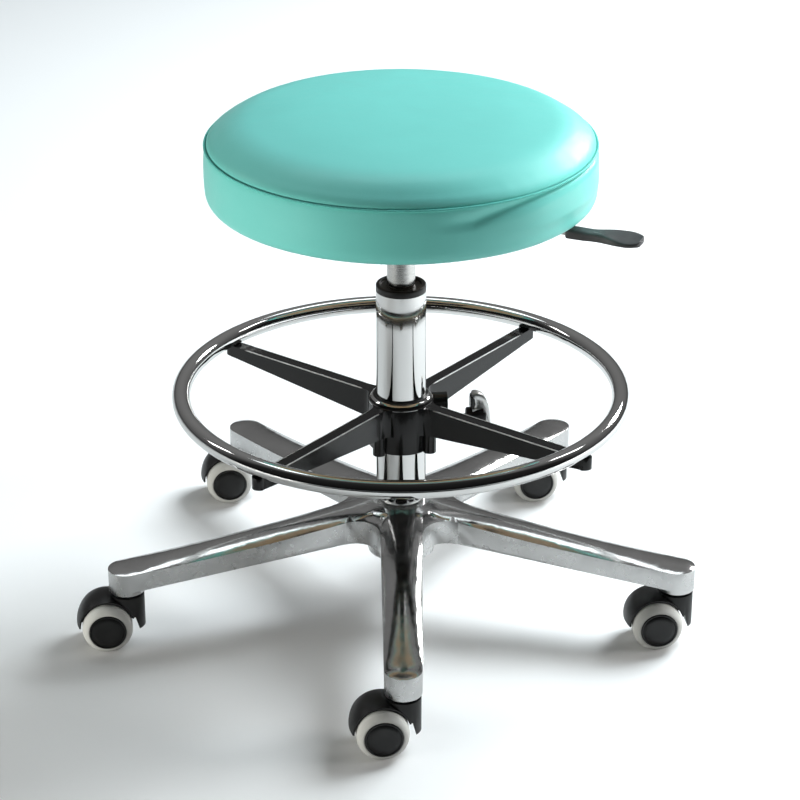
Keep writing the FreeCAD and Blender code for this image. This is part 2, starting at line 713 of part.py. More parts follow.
def make_lever_handle():
    """The black paddle on the lever rod: waisted, then wider, with a round end and thinner outwards."""
    turn = Rotation(Vector(0, 0, 1), number("lever_angle"))
    body = new_body("lever_handle", turn=turn)
    bottom = "lever_height - 4.5"
    plan = new_sketch(body, "paddle_plan", "XY_Plane", bottom)
    waist, wide = "paddle_start + 30", "lever_tip - 14"
    draw_outline(plan, [
        ("paddle_start", "-8"),
        (waist, "-7"),
        (wide, "-13.5"),
        ("lever_tip", "0", "14"),
        (wide, "13.5", "14"),
        (waist, "7"),
        ("paddle_start", "8")])
    extruded(body, "paddle", plan, "paddle_thickness")
    slope = new_sketch(body, "slope_side", "XZ_Plane")
    start, end = "paddle_start + paddle_grip", "lever_tip + 1"
    draw_outline(slope, [(start, bottom), (start, f"{bottom} - 1"), (end, f"{bottom} - 1"), (end, f"{bottom} + 4")])
    extruded(body, "slope", slope, "40", "Pocket", both_sides=True)
    bore = new_sketch(body, "bore_section", "YZ_Plane", "paddle_start")
    draw_circle(bore, "lever_rod", "0", "lever_height")
    extruded(body, "bore", bore, "paddle_grip", "Pocket", reverse=True)


# ---------------------------------------------------------------- foot ring

def ring_torus(name, radius):
    """A torus on the foot ring's centre line."""
    torus = doc.addObject("Part::Torus", name)
    torus.setExpression("Radius1", bound("ring_circle"))
    torus.setExpression("Radius2", bound(radius))
    torus.setExpression("Placement.Base.z", bound("ring_height"))
    return torus


def ring_fixing_angles():
    """Bearings of the four arms."""
    return [number("clamp_angle") + 45 + 90 * arm for arm in range(4)]


def make_foot_ring():
    """The chromed tube of the foot ring, with a hole over each arm for its screw."""
    tube = doc.addObject("Part::Cut", "ring_tube_hollow")
    tube.Base = ring_torus("ring_outside", "ring_tube")
    tube.Tool = ring_torus("ring_inside", "ring_tube - ring_wall")
    drills = []
    for index, bearing in enumerate(ring_fixing_angles()):
        drill = doc.addObject("Part::Cylinder", f"ring_drill_{index}")
        drill.Radius = 2.5
        drill.Height = 12
        drill.setExpression("Placement.Base.x", bound(f"ring_circle * cos({bearing})"))
        drill.setExpression("Placement.Base.y", bound(f"ring_circle * sin({bearing})"))
        drill.setExpression("Placement.Base.z", bound("arm_top - 5"))
        drills.append(drill)
    holes = doc.addObject("Part::Compound", "ring_drills")
    holes.Links = drills
    ring = doc.addObject("Part::Cut", "foot_ring")
    ring.Label = "foot_ring"
    ring.Base = tube
    ring.Tool = holes
    pieces.append(ring)
    doc.recompute()


def make_spider_liner():
    """The plastic liner between the column and the ring's hub, with a flange on top."""
    body = new_body("spider_liner")
    inner, outer = "tube_radius + running_gap", "tube_radius + 2"
    turned(body, "liner", [
        (inner, "spider_bottom"),
        (outer, "spider_bottom"),
        (outer, "arm_top + 4 + face_gap"),
        ("tube_radius + 2.8", "arm_top + 4 + face_gap"),
        ("tube_radius + 2.8", "arm_top + 5.4"),
        ("tube_radius + 2", "arm_top + 6"),
        (inner, "arm_top + 6")])


def spider_plan():
    """The hub's plan: a circle that runs into each arm through a hollow fillet."""
    fillet = "14"
    reach = f"sqrt((spider_radius + {fillet})^2 - (arm_width + {fillet})^2)"
    share = f"spider_radius / (spider_radius + {fillet})"
    points = []
    for arm in range(4):
        turn = 45 + 90 * arm
        places = [
            (f"{share} * {reach}", f"-{share} * (arm_width + {fillet})", "spider_radius"),
            (reach, "-arm_width", f"-{fillet}"),
            (reach, "arm_width", None),
            (f"{share} * {reach}", f"{share} * (arm_width + {fillet})", f"-{fillet}")]
        for along, across, radius in places:
            x = f"({along}) * cos({turn}) - ({across}) * sin({turn})"
            y = f"({along}) * sin({turn}) + ({across}) * cos({turn})"
            points.append((x, y, radius) if radius else (x, y))
    return points


def make_ring_spider():
    """The black cast hub with four tapered arms that carry the foot ring, and the clamp's ear."""
    body = new_body("ring_spider", turn=Rotation(Vector(0, 0, 1), number("clamp_angle")))
    turned(body, "hub", [
        ("0", "spider_bottom"),
        ("spider_radius - bevel", "spider_bottom"),
        ("spider_radius", "spider_bottom + bevel"),
        ("spider_radius", "arm_top - 1"),
        ("tube_radius + 3.2", "arm_top + 4", "6"),
        ("0", "arm_top + 4")])
    plan = new_sketch(body, "fillet_plan", "XY_Plane", "arm_top - arm_root_depth + 2")
    draw_outline(plan, spider_plan())
    extruded(body, "fillets", plan, "arm_root_depth - 2")
    side = new_sketch(body, "arm_side", "XZ_Plane", spin=45)
    end, tip_low = "ring_circle + 2", "arm_top - arm_tip_depth"
    draw_outline(side, [
        ("20", "arm_top - arm_root_depth"),
        (end, tip_low),
        (end, "arm_top"),
        ("20", "arm_top")])
    arm = extruded(body, "arm", side, "arm_width * 2", both_sides=True)
    tip = new_sketch(body, "tip_plan", "XY_Plane", tip_low)
    draw_circle(tip, "arm_width", f"({end}) * cos(45)", f"({end}) * sin(45)")
    arm_end = extruded(body, "arm_end", tip, "arm_tip_depth")
    foot = new_sketch(body, "foot_plan", "XY_Plane", "spider_bottom")
    draw_circle(foot, "arm_width", "foot_circle * cos(45)", "foot_circle * sin(45)")
    arm_foot = extruded(body, "arm_foot", foot, "arm_top - arm_root_depth + 5 - spider_bottom")
    repeated(body, "arms", [arm, arm_end, arm_foot], "4")
    ear = new_sketch(body, "ear_section", "YZ_Plane", "20")
    ear_top = "arm_top - 6"
    draw_outline(ear, [
        ("-9", "spider_bottom + 20"),
        ("9", "spider_bottom + 20"),
        ("9", ear_top),
        ("0", f"{ear_top} + 9", "9"),
        ("-9", ear_top, "9")])
    extruded(body, "ear", ear, "26.3")
    step = new_sketch(body, "ear_step_section", "YZ_Plane", "20")
    draw_outline(step, [
        ("-9", "spider_bottom + 6.5"),
        ("9", "spider_bottom + 6.5"),
        ("9", "spider_bottom + 21"),
        ("-9", "spider_bottom + 21")])
    extruded(body, "ear_step", step, "24")
    drilled(body, "liner_bore", "tube_radius + 2 + running_gap", "spider_bottom", "60")
    screw = new_sketch(body, "screw_section", "YZ_Plane", "20")
    draw_circle(screw, "4 + running_gap", "0", "clamp_height")
    extruded(body, "screw_hole", screw, "40", "Pocket", reverse=True)
    set_screw = new_sketch(body, "set_screw_section", "YZ_Plane", "36")
    draw_circle(set_screw, "4", "0", "arm_top - 5")
    extruded(body, "set_screw_hole", set_screw, "20", "Pocket", reverse=True)
    saddle = new_sketch(body, "saddle_section", "XZ_Plane")
    draw_circle(saddle, "ring_tube", "ring_circle", "ring_height")
    groove = body.newObject("PartDesign::Groove", "saddle")
    groove.Profile = saddle
    groove.ReferenceAxis = (saddle, ["V_Axis"])
    groove.Angle = 360
    doc.recompute()
    at = ("ring_circle * cos(45)", "ring_circle * sin(45)")
    hole = drilled(body, "fixing_hole", "2.5", "arm_top - 20", "30", *at)
    spot = drilled(body, "spot_face", "4.4", f"{tip_low} - 7", "7", *at)
    repeated(body, "fixing_holes", [hole, spot], "4")


def make_ring_screws():
    """Four screws that hold the ring to the arms from below, and the set screw in the clamp's ear."""
    body = new_body("ring_screws", turn=Rotation(Vector(0, 0, 1), number("clamp_angle")))
    body.AllowCompound = True
    head = "arm_top - arm_tip_depth"
    screw = turned(body, "screw", [
        ("0", f"{head} - 2.5"),
        ("3.6", f"{head} - 2.5"),
        ("4.2", f"{head} - 2"),
        ("4.2", head),
        ("2.5", head),
        ("2.5", "arm_top + 4"),
        ("0", "arm_top + 4")], axis_x="ring_circle * cos(45)", axis_y="ring_circle * sin(45)")
    repeated(body, "screws", [screw], "4")
    ear_screw = new_sketch(body, "ear_screw_section", "YZ_Plane", "36")
    draw_circle(ear_screw, "4", "0", "arm_top - 5")
    extruded(body, "ear_screw", ear_screw, "10")


def make_clamp():
    """The clamping screw with its black barrel, and the curved silver lever on it."""
    turn = Rotation(Vector(0, 0, 1), number("clamp_angle"))
    bolt = new_body("clamp_bolt", turn=turn)
    shank = new_sketch(bolt, "shank_section", "YZ_Plane", "tube_radius + 2.6")
    draw_circle(shank, "3", "0", "clamp_height")
    extruded(bolt, "shank", shank, "43")
    barrel = new_sketch(bolt, "barrel_section", "YZ_Plane", "69")
    draw_circle(barrel, "8.5", "0", "clamp_height")
    extruded(bolt, "barrel", barrel, "17")
    lever = new_body("clamp_lever", turn=turn)
    side = new_sketch(lever, "lever_side", "XZ_Plane")
    draw_outline(side, [
        ("86", "clamp_height - 8"),
        ("91", "clamp_height - 8"),
        ("90", "clamp_height + 1"),
        ("81.6", "clamp_height + 24.3", "42"),
        ("75", "clamp_height + 26.3", "14"),
        ("72", "clamp_height + 25.5"),
        ("70.3", "clamp_height + 8.5"),
        ("86", "clamp_height + 8.5")])
    extruded(lever, "lever", side, "12", both_sides=True)


# ---------------------------------------------------------------- casters

def caster_places():
    """Each caster's number and the bearing of its stem."""
    count = number_of("leg_count")
    return [(index + 1, -90 + index * 360 / count) for index in range(count)]


def make_hood(name, at, turn):
    """The moulded hood over both wheels, with a boss round the stem and a web between the wheels."""
    body = new_body(name, at, turn)
    axle_x, axle_z = "-trail", "wheel_radius"
    outline = new_sketch(body, "barrel_profile", "XY_Plane", axle_z, axle_x)
    swell = dome_radius("hood_half", "hood_radius - hood_edge")
    revolved(body, "barrel", outline, [
        ("0", "-hood_half"), ("hood_edge", "-hood_half"), ("hood_edge", "hood_half", swell), ("0", "hood_half")])
    boss = new_sketch(body, "boss_plan", "XY_Plane", "hood_skirt")
    draw_circle(boss, "hood_boss")
    extruded(body, "boss", boss, "hood_top - hood_skirt")
    crown = new_sketch(body, "crown_plan", "XY_Plane", "hood_top")
    draw_circle(crown, "leg_tip_width + 0.8")
    extruded(body, "crown_flat", crown, "5", "Pocket", reverse=True)
    under = new_sketch(body, "under_side", "XZ_Plane")
    far, near = f"{axle_x} - hood_radius - 3", "hood_boss + 3"
    draw_outline(under, [
        (far, f"{axle_z} - hood_radius - 3"),
        (near, f"{axle_z} - hood_radius - 3"),
        (near, "hood_skirt"),
        ("hood_boss - 6.2", "hood_skirt"),
        ("hood_boss - 10", "hood_skirt + 14.5"),
        ("-2", "hood_skirt + 13"),
        ("-10", axle_z),
        (far, axle_z)])
    extruded(body, "under", under, "hood_radius * 3", "Pocket", both_sides=True)
    for name_part, offset, outwards in (("right", "web_half", True), ("left", "-web_half", False)):
        room = new_sketch(body, name_part + "_wheel_side", "XZ_Plane", offset)
        draw_circle(room, "hood_bore", axle_x, axle_z)
        extruded(body, name_part + "_wheel_room", room, "hood_half + 5", "Pocket", reverse=outwards)
    lobe = new_sketch(body, "lobe_side", "XZ_Plane")
    draw_circle(lobe, "axle_radius + 4", axle_x, axle_z)
    extruded(body, "axle_lobe", lobe, "web_half * 2", both_sides=True)
    axle = new_sketch(body, "axle_side", "XZ_Plane")
    draw_circle(axle, "axle_radius", axle_x, axle_z)
    extruded(body, "axle_hole", axle, "web_half * 4", "Pocket", both_sides=True)
    drilled(body, "stem_bore", "stem_radius + running_gap", "hood_top - 11", "15")


def make_wheel(label, tyre_label, at, turn):
    """One wheel: a moulded core with a closed hub disc, and the soft tyre round it."""
    core = new_body(label, at, turn)
    inside, disc_edge = "web_half + 0.5", "wheel_face - bevel * 1.2"
    turned(core, "core", [
        ("axle_radius + running_gap", inside),
        ("axle_radius + 4", inside),
        ("axle_radius + 5", f"{inside} + 4"),
        ("wheel_disc - 3", f"{inside} + 4"),
        ("wheel_disc - 2.5", f"{inside} + 1"),
        ("wheel_disc", f"{inside} + 1"),
        ("wheel_disc", disc_edge),
        ("wheel_disc - bevel", "wheel_face"),
        ("0", "wheel_face"),
        ("0", "wheel_face - 4.3"),
        ("axle_radius + running_gap", "wheel_face - 4.3")])
    tyre = new_body(tyre_label, at, turn)
    turned(tyre, "tyre", [
        ("wheel_disc", f"{inside} + 1"),
        ("wheel_radius - 1.5", f"{inside} + 1"),
        ("wheel_radius", f"{inside} + 3", "2.2"),
        ("wheel_radius", "wheel_face - 8.5"),
        ("wheel_disc + 0.8", disc_edge, "9"),
        ("wheel_disc", disc_edge)])


def make_caster(index, bearing):
    """A twin-wheel caster: the hood turns on the stem, and each wheel turns on the axle by itself."""
    name = f"caster_{index}"
    stem_x, stem_y = f"caster_circle * cos({bearing})", f"caster_circle * sin({bearing})"
    heading = Rotation(Vector(0, 0, 1), number("caster_heading"))
    make_hood(name + "_hood", (stem_x, stem_y, "0"), heading)
    axle_at = (
        f"{stem_x} - trail * cos(caster_heading)",
        f"{stem_y} - trail * sin(caster_heading)",
        "wheel_radius")
    axle = new_body(name + "_axle", axle_at, heading * Rotation(Vector(1, 0, 0), 90))
    turned(axle, "axle", ring_profile("0", "axle_radius", "5 - wheel_face", "wheel_face - 5"))
    for side, tilt in (("right", 90), ("left", -90)):
        turn = heading * Rotation(Vector(1, 0, 0), tilt)
        make_wheel(f"{name}_{side}_wheel", f"{name}_{side}_tyre", axle_at, turn)


# ---------------------------------------------------------------- the whole stool

def check_document():
    """Stop if any object failed or any sub-part has no good shape."""
    doc.recompute()
    for each in doc.Objects:
        if {"Invalid", "Error"} & set(each.State):
            raise RuntimeError(f"{each.Name} ({each.Label}) failed: {each.State}")
    for piece in pieces:
        if piece.Shape.isNull() or not piece.Shape.isValid() or not piece.Shape.Solids:
            raise RuntimeError(f"{piece.Label} has no good shape")


def export_pieces():
    """Write each sub-part to its own file."""
    os.makedirs("parts", exist_ok=True)
    for piece in pieces:
        piece.Shape.exportStep(f"parts/{piece.Label}.step")


fill_sheet()
make_star_base()
make_caster_stems()
make_column_tube()
make_guide_sleeve()
make_thrust_bearing()
make_piston_rod()
make_rod_clip()
make_rod_parts()
make_gas_cylinder()
make_cylinder_ends()
make_release_pin()
make_taper_socket()
make_mounting_plate()
make_plate_screws()
make_lever_pivot_pin()
make_seat_board()
make_upholstery()
make_lever_rod()
make_lever_handle()
make_foot_ring()
make_spider_liner()
make_ring_spider()
make_ring_screws()
make_clamp()
for caster_index, stem_bearing in caster_places():
    make_caster(caster_index, stem_bearing)
check_document()
export_pieces()
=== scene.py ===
import json
import math

import bmesh
import bpy
from mathutils import Matrix, Vector, noise
from mathutils.bvhtree import BVHTree


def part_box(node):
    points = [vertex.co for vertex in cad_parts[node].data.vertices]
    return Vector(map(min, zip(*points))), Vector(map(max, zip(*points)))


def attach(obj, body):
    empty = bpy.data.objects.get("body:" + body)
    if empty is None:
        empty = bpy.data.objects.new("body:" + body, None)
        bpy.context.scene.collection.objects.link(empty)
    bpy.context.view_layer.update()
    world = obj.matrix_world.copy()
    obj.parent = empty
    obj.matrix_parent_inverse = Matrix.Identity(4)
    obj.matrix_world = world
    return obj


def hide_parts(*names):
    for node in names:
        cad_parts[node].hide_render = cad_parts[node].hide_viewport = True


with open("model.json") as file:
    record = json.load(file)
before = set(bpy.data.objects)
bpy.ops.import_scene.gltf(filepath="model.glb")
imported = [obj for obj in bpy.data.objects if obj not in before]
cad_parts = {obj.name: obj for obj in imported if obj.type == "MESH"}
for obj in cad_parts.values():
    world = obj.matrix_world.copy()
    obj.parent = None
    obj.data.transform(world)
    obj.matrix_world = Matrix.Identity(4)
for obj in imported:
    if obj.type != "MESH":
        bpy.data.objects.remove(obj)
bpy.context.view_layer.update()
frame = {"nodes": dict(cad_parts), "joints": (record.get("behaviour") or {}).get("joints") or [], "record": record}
NODES = frame["nodes"]
MM = 0.001

# ---------------------------------------------------------------- camera, floor and light

CAMERA_DISTANCE = 2662.33 * MM
CAMERA_TARGET = Vector((0, 0, 223.86 * MM))
CAMERA_ELEVATION = 0.4386
CAMERA_BEARING = math.radians(0.42)
CAMERA_LENS = 119.36
CAMERA_SHIFT = -0.00134
FLOOR_REACH = 9.0


def add_camera():
    """A long lens, a little over 25 degrees above the floor."""
    data = bpy.data.cameras.new("camera")
    data.sensor_width = 36
    data.lens = CAMERA_LENS
    data.shift_x = CAMERA_SHIFT
    camera = bpy.data.objects.new("camera", data)
    bpy.context.scene.collection.objects.link(camera)
    level = math.cos(CAMERA_ELEVATION) * CAMERA_DISTANCE
    away = Vector((
        -math.sin(CAMERA_BEARING) * level,
        -math.cos(CAMERA_BEARING) * level,
        math.sin(CAMERA_ELEVATION) * CAMERA_DISTANCE))
    camera.location = CAMERA_TARGET + away
    camera.rotation_euler = (math.pi / 2 - CAMERA_ELEVATION, 0, -CAMERA_BEARING)
    bpy.context.scene.camera = camera


def add_object(name, mesh):
    """A new object for a mesh, linked to the scene."""
    thing = bpy.data.objects.new(name, mesh)
    bpy.context.scene.collection.objects.link(thing)
    return thing


def add_card(name, size, place, look_at, strength, colour=(1, 1, 1), lights="all"):
    """A soft rectangle of light that looks at a point. It can light only matt or only glossy surfaces."""
    data = bpy.data.lights.new(name, "AREA")
    data.shape = "RECTANGLE"
    data.size, data.size_y = size
    data.energy = strength
    data.color = colour
    light = bpy.data.objects.new(name, data)
    bpy.context.scene.collection.objects.link(light)
    light.location = place
    light.rotation_euler = (Vector(look_at) - Vector(place)).to_track_quat("-Z", "Y").to_euler()
    light.visible_camera = False
    light.visible_glossy = lights != "matt"
    light.visible_diffuse = lights != "gloss"
    return light


def add_world():
    """A studio that is pale to the camera, and dark to shiny surfaces except behind the stool and overhead."""
    world = bpy.data.worlds.new("room")
    bpy.context.scene.world = world
    world.use_nodes = True
    nodes, links = world.node_tree.nodes, world.node_tree.links
    nodes.clear()
    where = nodes.new("ShaderNodeTexCoord")
    split = nodes.new("ShaderNodeSeparateXYZ")
    links.new(where.outputs["Generated"], split.inputs[0])
    sides = []
    for axis, stops in (
            ("Y", ((0.0, 0.006), (0.45, 0.010), (0.62, 0.08), (1.0, 0.15))),
            ("Z", ((0.0, 0.5), (0.52, 0.5), (0.6, 0.9), (0.9, 1.6), (1.0, 2.6)))):
        spread = nodes.new("ShaderNodeMapRange")
        spread.inputs["From Min"].default_value = -1
        links.new(split.outputs[axis], spread.inputs["Value"])
        ramp = nodes.new("ShaderNodeValToRGB")
        ends = ramp.color_ramp.elements
        ends[0].position, ends[0].color = stops[0][0], (*[stops[0][1]] * 3, 1)
        ends[1].position, ends[1].color = stops[-1][0], (*[stops[-1][1]] * 3, 1)
        for position, value in stops[1:-1]:
            ramp.color_ramp.elements.new(position).color = (value, value, value, 1)
        links.new(spread.outputs[0], ramp.inputs["Fac"])
        sides.append(ramp)
    both = nodes.new("ShaderNodeMix")
    both.data_type, both.blend_type = "RGBA", "MULTIPLY"
    both.inputs["Factor"].default_value = 1
    links.new(sides[0].outputs["Color"], both.inputs["A"])
    links.new(sides[1].outputs["Color"], both.inputs["B"])
    shiny = nodes.new("ShaderNodeBackground")
    links.new(both.outputs["Result"], shiny.inputs["Color"])
    soft = nodes.new("ShaderNodeBackground")
    soft.inputs["Color"].default_value = (0.9, 0.97, 1.0, 1)
    soft.inputs["Strength"].default_value = 0.07
    seen = nodes.new("ShaderNodeBackground")
    seen.inputs["Color"].default_value = (0.97, 0.97, 0.97, 1)
    rays = nodes.new("ShaderNodeLightPath")
    first = nodes.new("ShaderNodeMixShader")
    links.new(rays.outputs["Is Glossy Ray"], first.inputs["Fac"])
    links.new(soft.outputs[0], first.inputs[1])
    links.new(shiny.outputs[0], first.inputs[2])
    second = nodes.new("ShaderNodeMixShader")
    links.new(rays.outputs["Is Camera Ray"], second.inputs["Fac"])
    links.new(first.outputs[0], second.inputs[1])
    links.new(seen.outputs[0], second.inputs[2])
    out = nodes.new("ShaderNodeOutputWorld")
    links.new(second.outputs[0], out.inputs["Surface"])


def add_floor():
    """A plain pale floor. It looks pale to the camera, and throws less light back than it shows."""
    mesh = bpy.data.meshes.new("floor")
    corners = [(x * FLOOR_REACH, y * FLOOR_REACH, 0) for x, y in ((-1, -1), (1, -1), (1, 1), (-1, 1))]
    mesh.from_pydata(corners, [], [(0, 1, 2, 3)])
    floor = add_object("floor", mesh)
    material = bpy.data.materials.new("floor")
    material.use_nodes = True
    surface = material.node_tree.nodes["Principled BSDF"]
    tree = material.node_tree
    rays = tree.nodes.new("ShaderNodeLightPath")
    shade = (0.31, 0.31, 0.31, 1)
    for ray, value in (("Is Glossy Ray", 0.60), ("Is Camera Ray", 0.93)):
        mix = tree.nodes.new("ShaderNodeMix")
        mix.data_type = "RGBA"
        if ray == "Is Glossy Ray":
            mix.inputs["A"].default_value = shade
        else:
            tree.links.new(shade, mix.inputs["A"])
        mix.inputs["B"].default_value = (value, value, value, 1)
        tree.links.new(rays.outputs[ray], mix.inputs["Factor"])
        shade = mix.outputs["Result"]
    tree.links.new(shade, surface.inputs["Base Color"])
    surface.inputs["Roughness"].default_value = 0.9
    surface.inputs["Specular IOR Level"].default_value = 0.1
    mesh.materials.append(material)


def add_flag(name, centre, size, shade=0.04):
    """A dark cloth on the floor, unseen by the camera. It darkens what the seat and the metal reflect."""
    mesh = bpy.data.meshes.new(name)
    x, y, wide, deep = *centre, size[0] / 2, size[1] / 2
    mesh.from_pydata([
        (x - wide, y - deep, 0.002), (x + wide, y - deep, 0.002), (x + wide, y + deep, 0.002),
        (x - wide, y + deep, 0.002)], [], [(0, 1, 2, 3)])
    flag = add_object(name, mesh)
    material = bpy.data.materials.new(name)
    material.use_nodes = True
    surface = material.node_tree.nodes["Principled BSDF"]
    surface.inputs["Base Color"].default_value = (shade, shade, shade, 1)
    surface.inputs["Roughness"].default_value = 1
    mesh.materials.append(material)
    flag.visible_camera = False
    flag.visible_shadow = False


def add_lights():
    """One large light behind on the right, low ones at both sides and one overhead.

    Some light only the matt part of a surface and some only its gloss.
    """
    add_card("key_light", (1.7, 1.5), (1.9, 1.5, 2.3), (0, 0, 0.4), 178, (0.90, 0.97, 1.0), "matt")
    add_card("glare_light", (0.6, 0.35), (1.35, 1.65, 1.3), (0, 0, 0.45), 17, (1, 1, 1), "gloss")
    add_card("left_glint", (0.25, 0.7), (-2.1, 0.75, 1.75), (0, 0, 0.3), 2.4, (1, 1, 1), "gloss")
    add_card("right_glint", (0.25, 0.6), (1.7, 0.75, 2.1), (0, 0, 0.3), 2.4, (1, 1, 1), "gloss")
    add_card("right_light", (0.8, 0.7), (1.9, -0.15, 0.35), (0, 0, 0.7), 30, (1, 0.99, 0.97), "matt")
    add_card("left_light", (1.0, 0.4), (-1.7, -0.9, 0.2), (0, 0, 0.7), 31, (1, 0.99, 0.93), "matt")
    add_card("top_light", (2.4, 0.8), (-0.2, 1.2, 2.9), (0, 0, 0.3), 11, (0.90, 0.97, 1.0))
    add_flag("front_flag", (0.0, -1.95), (2.2, 2.2))


# ---------------------------------------------------------------- materials

class Surface:
    """A principled material and short ways to add its procedural nodes."""

    def __init__(self, name, colour, metallic=0.0):
        self.material = bpy.data.materials.new(name)
        self.material.use_nodes = True
        self.nodes = self.material.node_tree.nodes
        self.links = self.material.node_tree.links
        self.shader = self.nodes["Principled BSDF"]
        self.shader.inputs["Metallic"].default_value = metallic
        self.colour = (*colour, 1)
        self.place = self.nodes.new("ShaderNodeTexCoord").outputs["Object"]
        self.height = None

    def stretched(self, scale):
        """Object coordinates stretched along an axis."""
        mapping = self.nodes.new("ShaderNodeMapping")
        mapping.inputs["Scale"].default_value = scale
        self.links.new(self.place, mapping.inputs["Vector"])
        return mapping.outputs["Vector"]

    def noise(self, scale, detail=3.0, place=None, rough=0.5):
        """Noise of so many grains to the metre, from 0 to 1."""
        node = self.nodes.new("ShaderNodeTexNoise")
        node.inputs["Scale"].default_value = scale
        node.inputs["Detail"].default_value = detail
        node.inputs["Roughness"].default_value = rough
        self.links.new(place or self.place, node.inputs["Vector"])
        return node.outputs["Fac"]

    def cells(self, scale, feature="DISTANCE_TO_EDGE"):
        """Cell pattern, such as the grain of vinyl."""
        node = self.nodes.new("ShaderNodeTexVoronoi")
        node.feature = feature
        node.inputs["Scale"].default_value = scale
        self.links.new(self.place, node.inputs["Vector"])
        return node.outputs["Distance"]

    def spread(self, value, low, high, start=0.3, end=0.7):
        """A value that runs from low to high as the pattern runs from start to end."""
        node = self.nodes.new("ShaderNodeMapRange")
        for socket, number in (("From Min", start), ("From Max", end), ("To Min", low), ("To Max", high)):
            node.inputs[socket].default_value = number
        self.links.new(value, node.inputs["Value"])
        return node.outputs["Result"]

    def math(self, kind, first, second):
        """One sum of two values."""
        node = self.nodes.new("ShaderNodeMath")
        node.operation = kind
        for index, value in enumerate((first, second)):
            if isinstance(value, (int, float)):
                node.inputs[index].default_value = value
            else:
                self.links.new(value, node.inputs[index])
        return node.outputs[0]

    def blend(self, share, other, under=None):
        """Mix another colour over the material's own."""
        node = self.nodes.new("ShaderNodeMix")
        node.data_type = "RGBA"
        self.links.new(share, node.inputs["Factor"])
        if under is None:
            node.inputs["A"].default_value = self.colour
        else:
            self.links.new(under, node.inputs["A"])
        node.inputs["B"].default_value = (*other, 1)
        return node.outputs["Result"]

    def paint(self, value):
        self.links.new(value, self.shader.inputs["Base Color"])
        return self

    def gloss(self, value):
        self.links.new(value, self.shader.inputs["Roughness"])
        return self

    def bump(self, value, distance, strength=1.0):
        """Add a relief of so many metres."""
        node = self.nodes.new("ShaderNodeBump")
        node.inputs["Distance"].default_value = distance
        node.inputs["Strength"].default_value = strength
        self.links.new(value, node.inputs["Height"])
        if self.height is not None:
            self.links.new(self.height, node.inputs["Normal"])
        self.height = node.outputs["Normal"]
        self.links.new(self.height, self.shader.inputs["Normal"])
        return self

    def set(self, **values):
        """Plain numbers on the shader's own sockets."""
        for socket, value in values.items():
            self.shader.inputs[socket.replace("_", " ")].default_value = value
        return self


def vinyl():
    """Turquoise upholstery vinyl with a fine pebble grain, pale specks and slightly uneven gloss."""
    made = Surface("vinyl", (0.185, 0.650, 0.590))
    broad = made.noise(9, 2)
    shade = made.blend(made.spread(broad, 0.0, 0.35), (0.155, 0.585, 0.525))
    speck = made.noise(900, 2)
    made.paint(made.blend(made.spread(speck, 0.0, 0.10), (0.26, 0.73, 0.67), shade))
    made.gloss(made.spread(made.noise(60, 4), 0.33, 0.43))
    made.bump(made.spread(made.cells(820), 0.0, 1.0, 0.0, 0.35), 0.00006, 0.55)
    made.bump(made.noise(2200, 2), 0.00003, 0.4)
    made.set(Specular_IOR_Level=0.55, Sheen_Weight=0.05, Sheen_Roughness=0.4)
    return made.material


def thread():
    """The seam's rolled edge: the same vinyl painted darker all over, painted shade for the groove at the seam,
    with darker patches at random and the twist of the thread.
    """
    made = Surface("vinyl_thread", (0.14, 0.60, 0.53))
    made.paint(made.blend(made.spread(made.noise(700, 2), 0.0, 0.4), (0.09, 0.45, 0.39)))
    made.gloss(made.spread(made.noise(300, 2), 0.35, 0.5))
    made.bump(made.noise(1800, 2), 0.00008, 0.6)
    return made.material


def chrome(name="chrome", low=0.03, high=0.085):
    """Bright chrome plate with faint wiping marks."""
    made = Surface(name, (0.88, 0.88, 0.87), 1.0)
    made.paint(made.blend(made.spread(made.noise(14, 3), 0.0, 0.5), (0.80, 0.80, 0.79)))
    made.gloss(made.spread(made.noise(45, 5), low, high))
    made.bump(made.noise(26, 2), 0.00012, 0.35)
    return made.material


def cast_aluminium():
    """Polished casting: soft ripples, fine polishing lines, and duller upright walls."""
    made = Surface("cast_aluminium", (0.78, 0.78, 0.775), 1.0)
    normal = made.nodes.new("ShaderNodeNewGeometry").outputs["Normal"]
    split = made.nodes.new("ShaderNodeSeparateXYZ")
    made.links.new(normal, split.inputs[0])
    upright = made.spread(made.math("ABSOLUTE", split.outputs["Z"], 0), 1.0, 0.0, 0.25, 0.6)
    grey = made.blend(made.spread(made.noise(30, 4), 0.0, 0.7), (0.66, 0.66, 0.655))
    pits = made.spread(made.noise(650, 2), 0.0, 1.0, 0.68, 0.80)
    made.paint(made.blend(made.math("MULTIPLY", pits, 0.15), (0.5, 0.5, 0.5), grey))
    polished = made.spread(made.noise(80, 5), 0.10, 0.19)
    made.gloss(made.math("ADD", polished, made.math("MULTIPLY", upright, 0.14)))
    made.bump(made.noise(17, 2), 0.0010, 0.5)
    made.bump(made.noise(160, 3), 0.00004, 0.4)
    made.bump(made.noise(60, 3, made.stretched((1, 1, 30))), 0.00004, 0.4)
    return made.material


def satin_steel():
    """Ground steel with fine lines round it."""
    made = Surface("satin_steel", (0.70, 0.70, 0.68), 1.0)
    lines = made.noise(40, 3, made.stretched((1, 1, 60)))
    made.paint(made.blend(made.spread(lines, 0.0, 0.5), (0.58, 0.58, 0.565)))
    made.gloss(made.spread(lines, 0.17, 0.30))
    made.bump(lines, 0.00004, 0.5)
    return made.material


def zinc_steel():
    """Zinc-plated steel, slightly mottled."""
    made = Surface("zinc_steel", (0.62, 0.63, 0.64), 1.0)
    made.paint(made.blend(made.spread(made.noise(260, 3), 0.0, 0.7), (0.50, 0.51, 0.53)))
    made.gloss(made.spread(made.noise(180, 3), 0.24, 0.38))
    made.bump(made.noise(700, 2), 0.00004, 0.5)
    return made.material


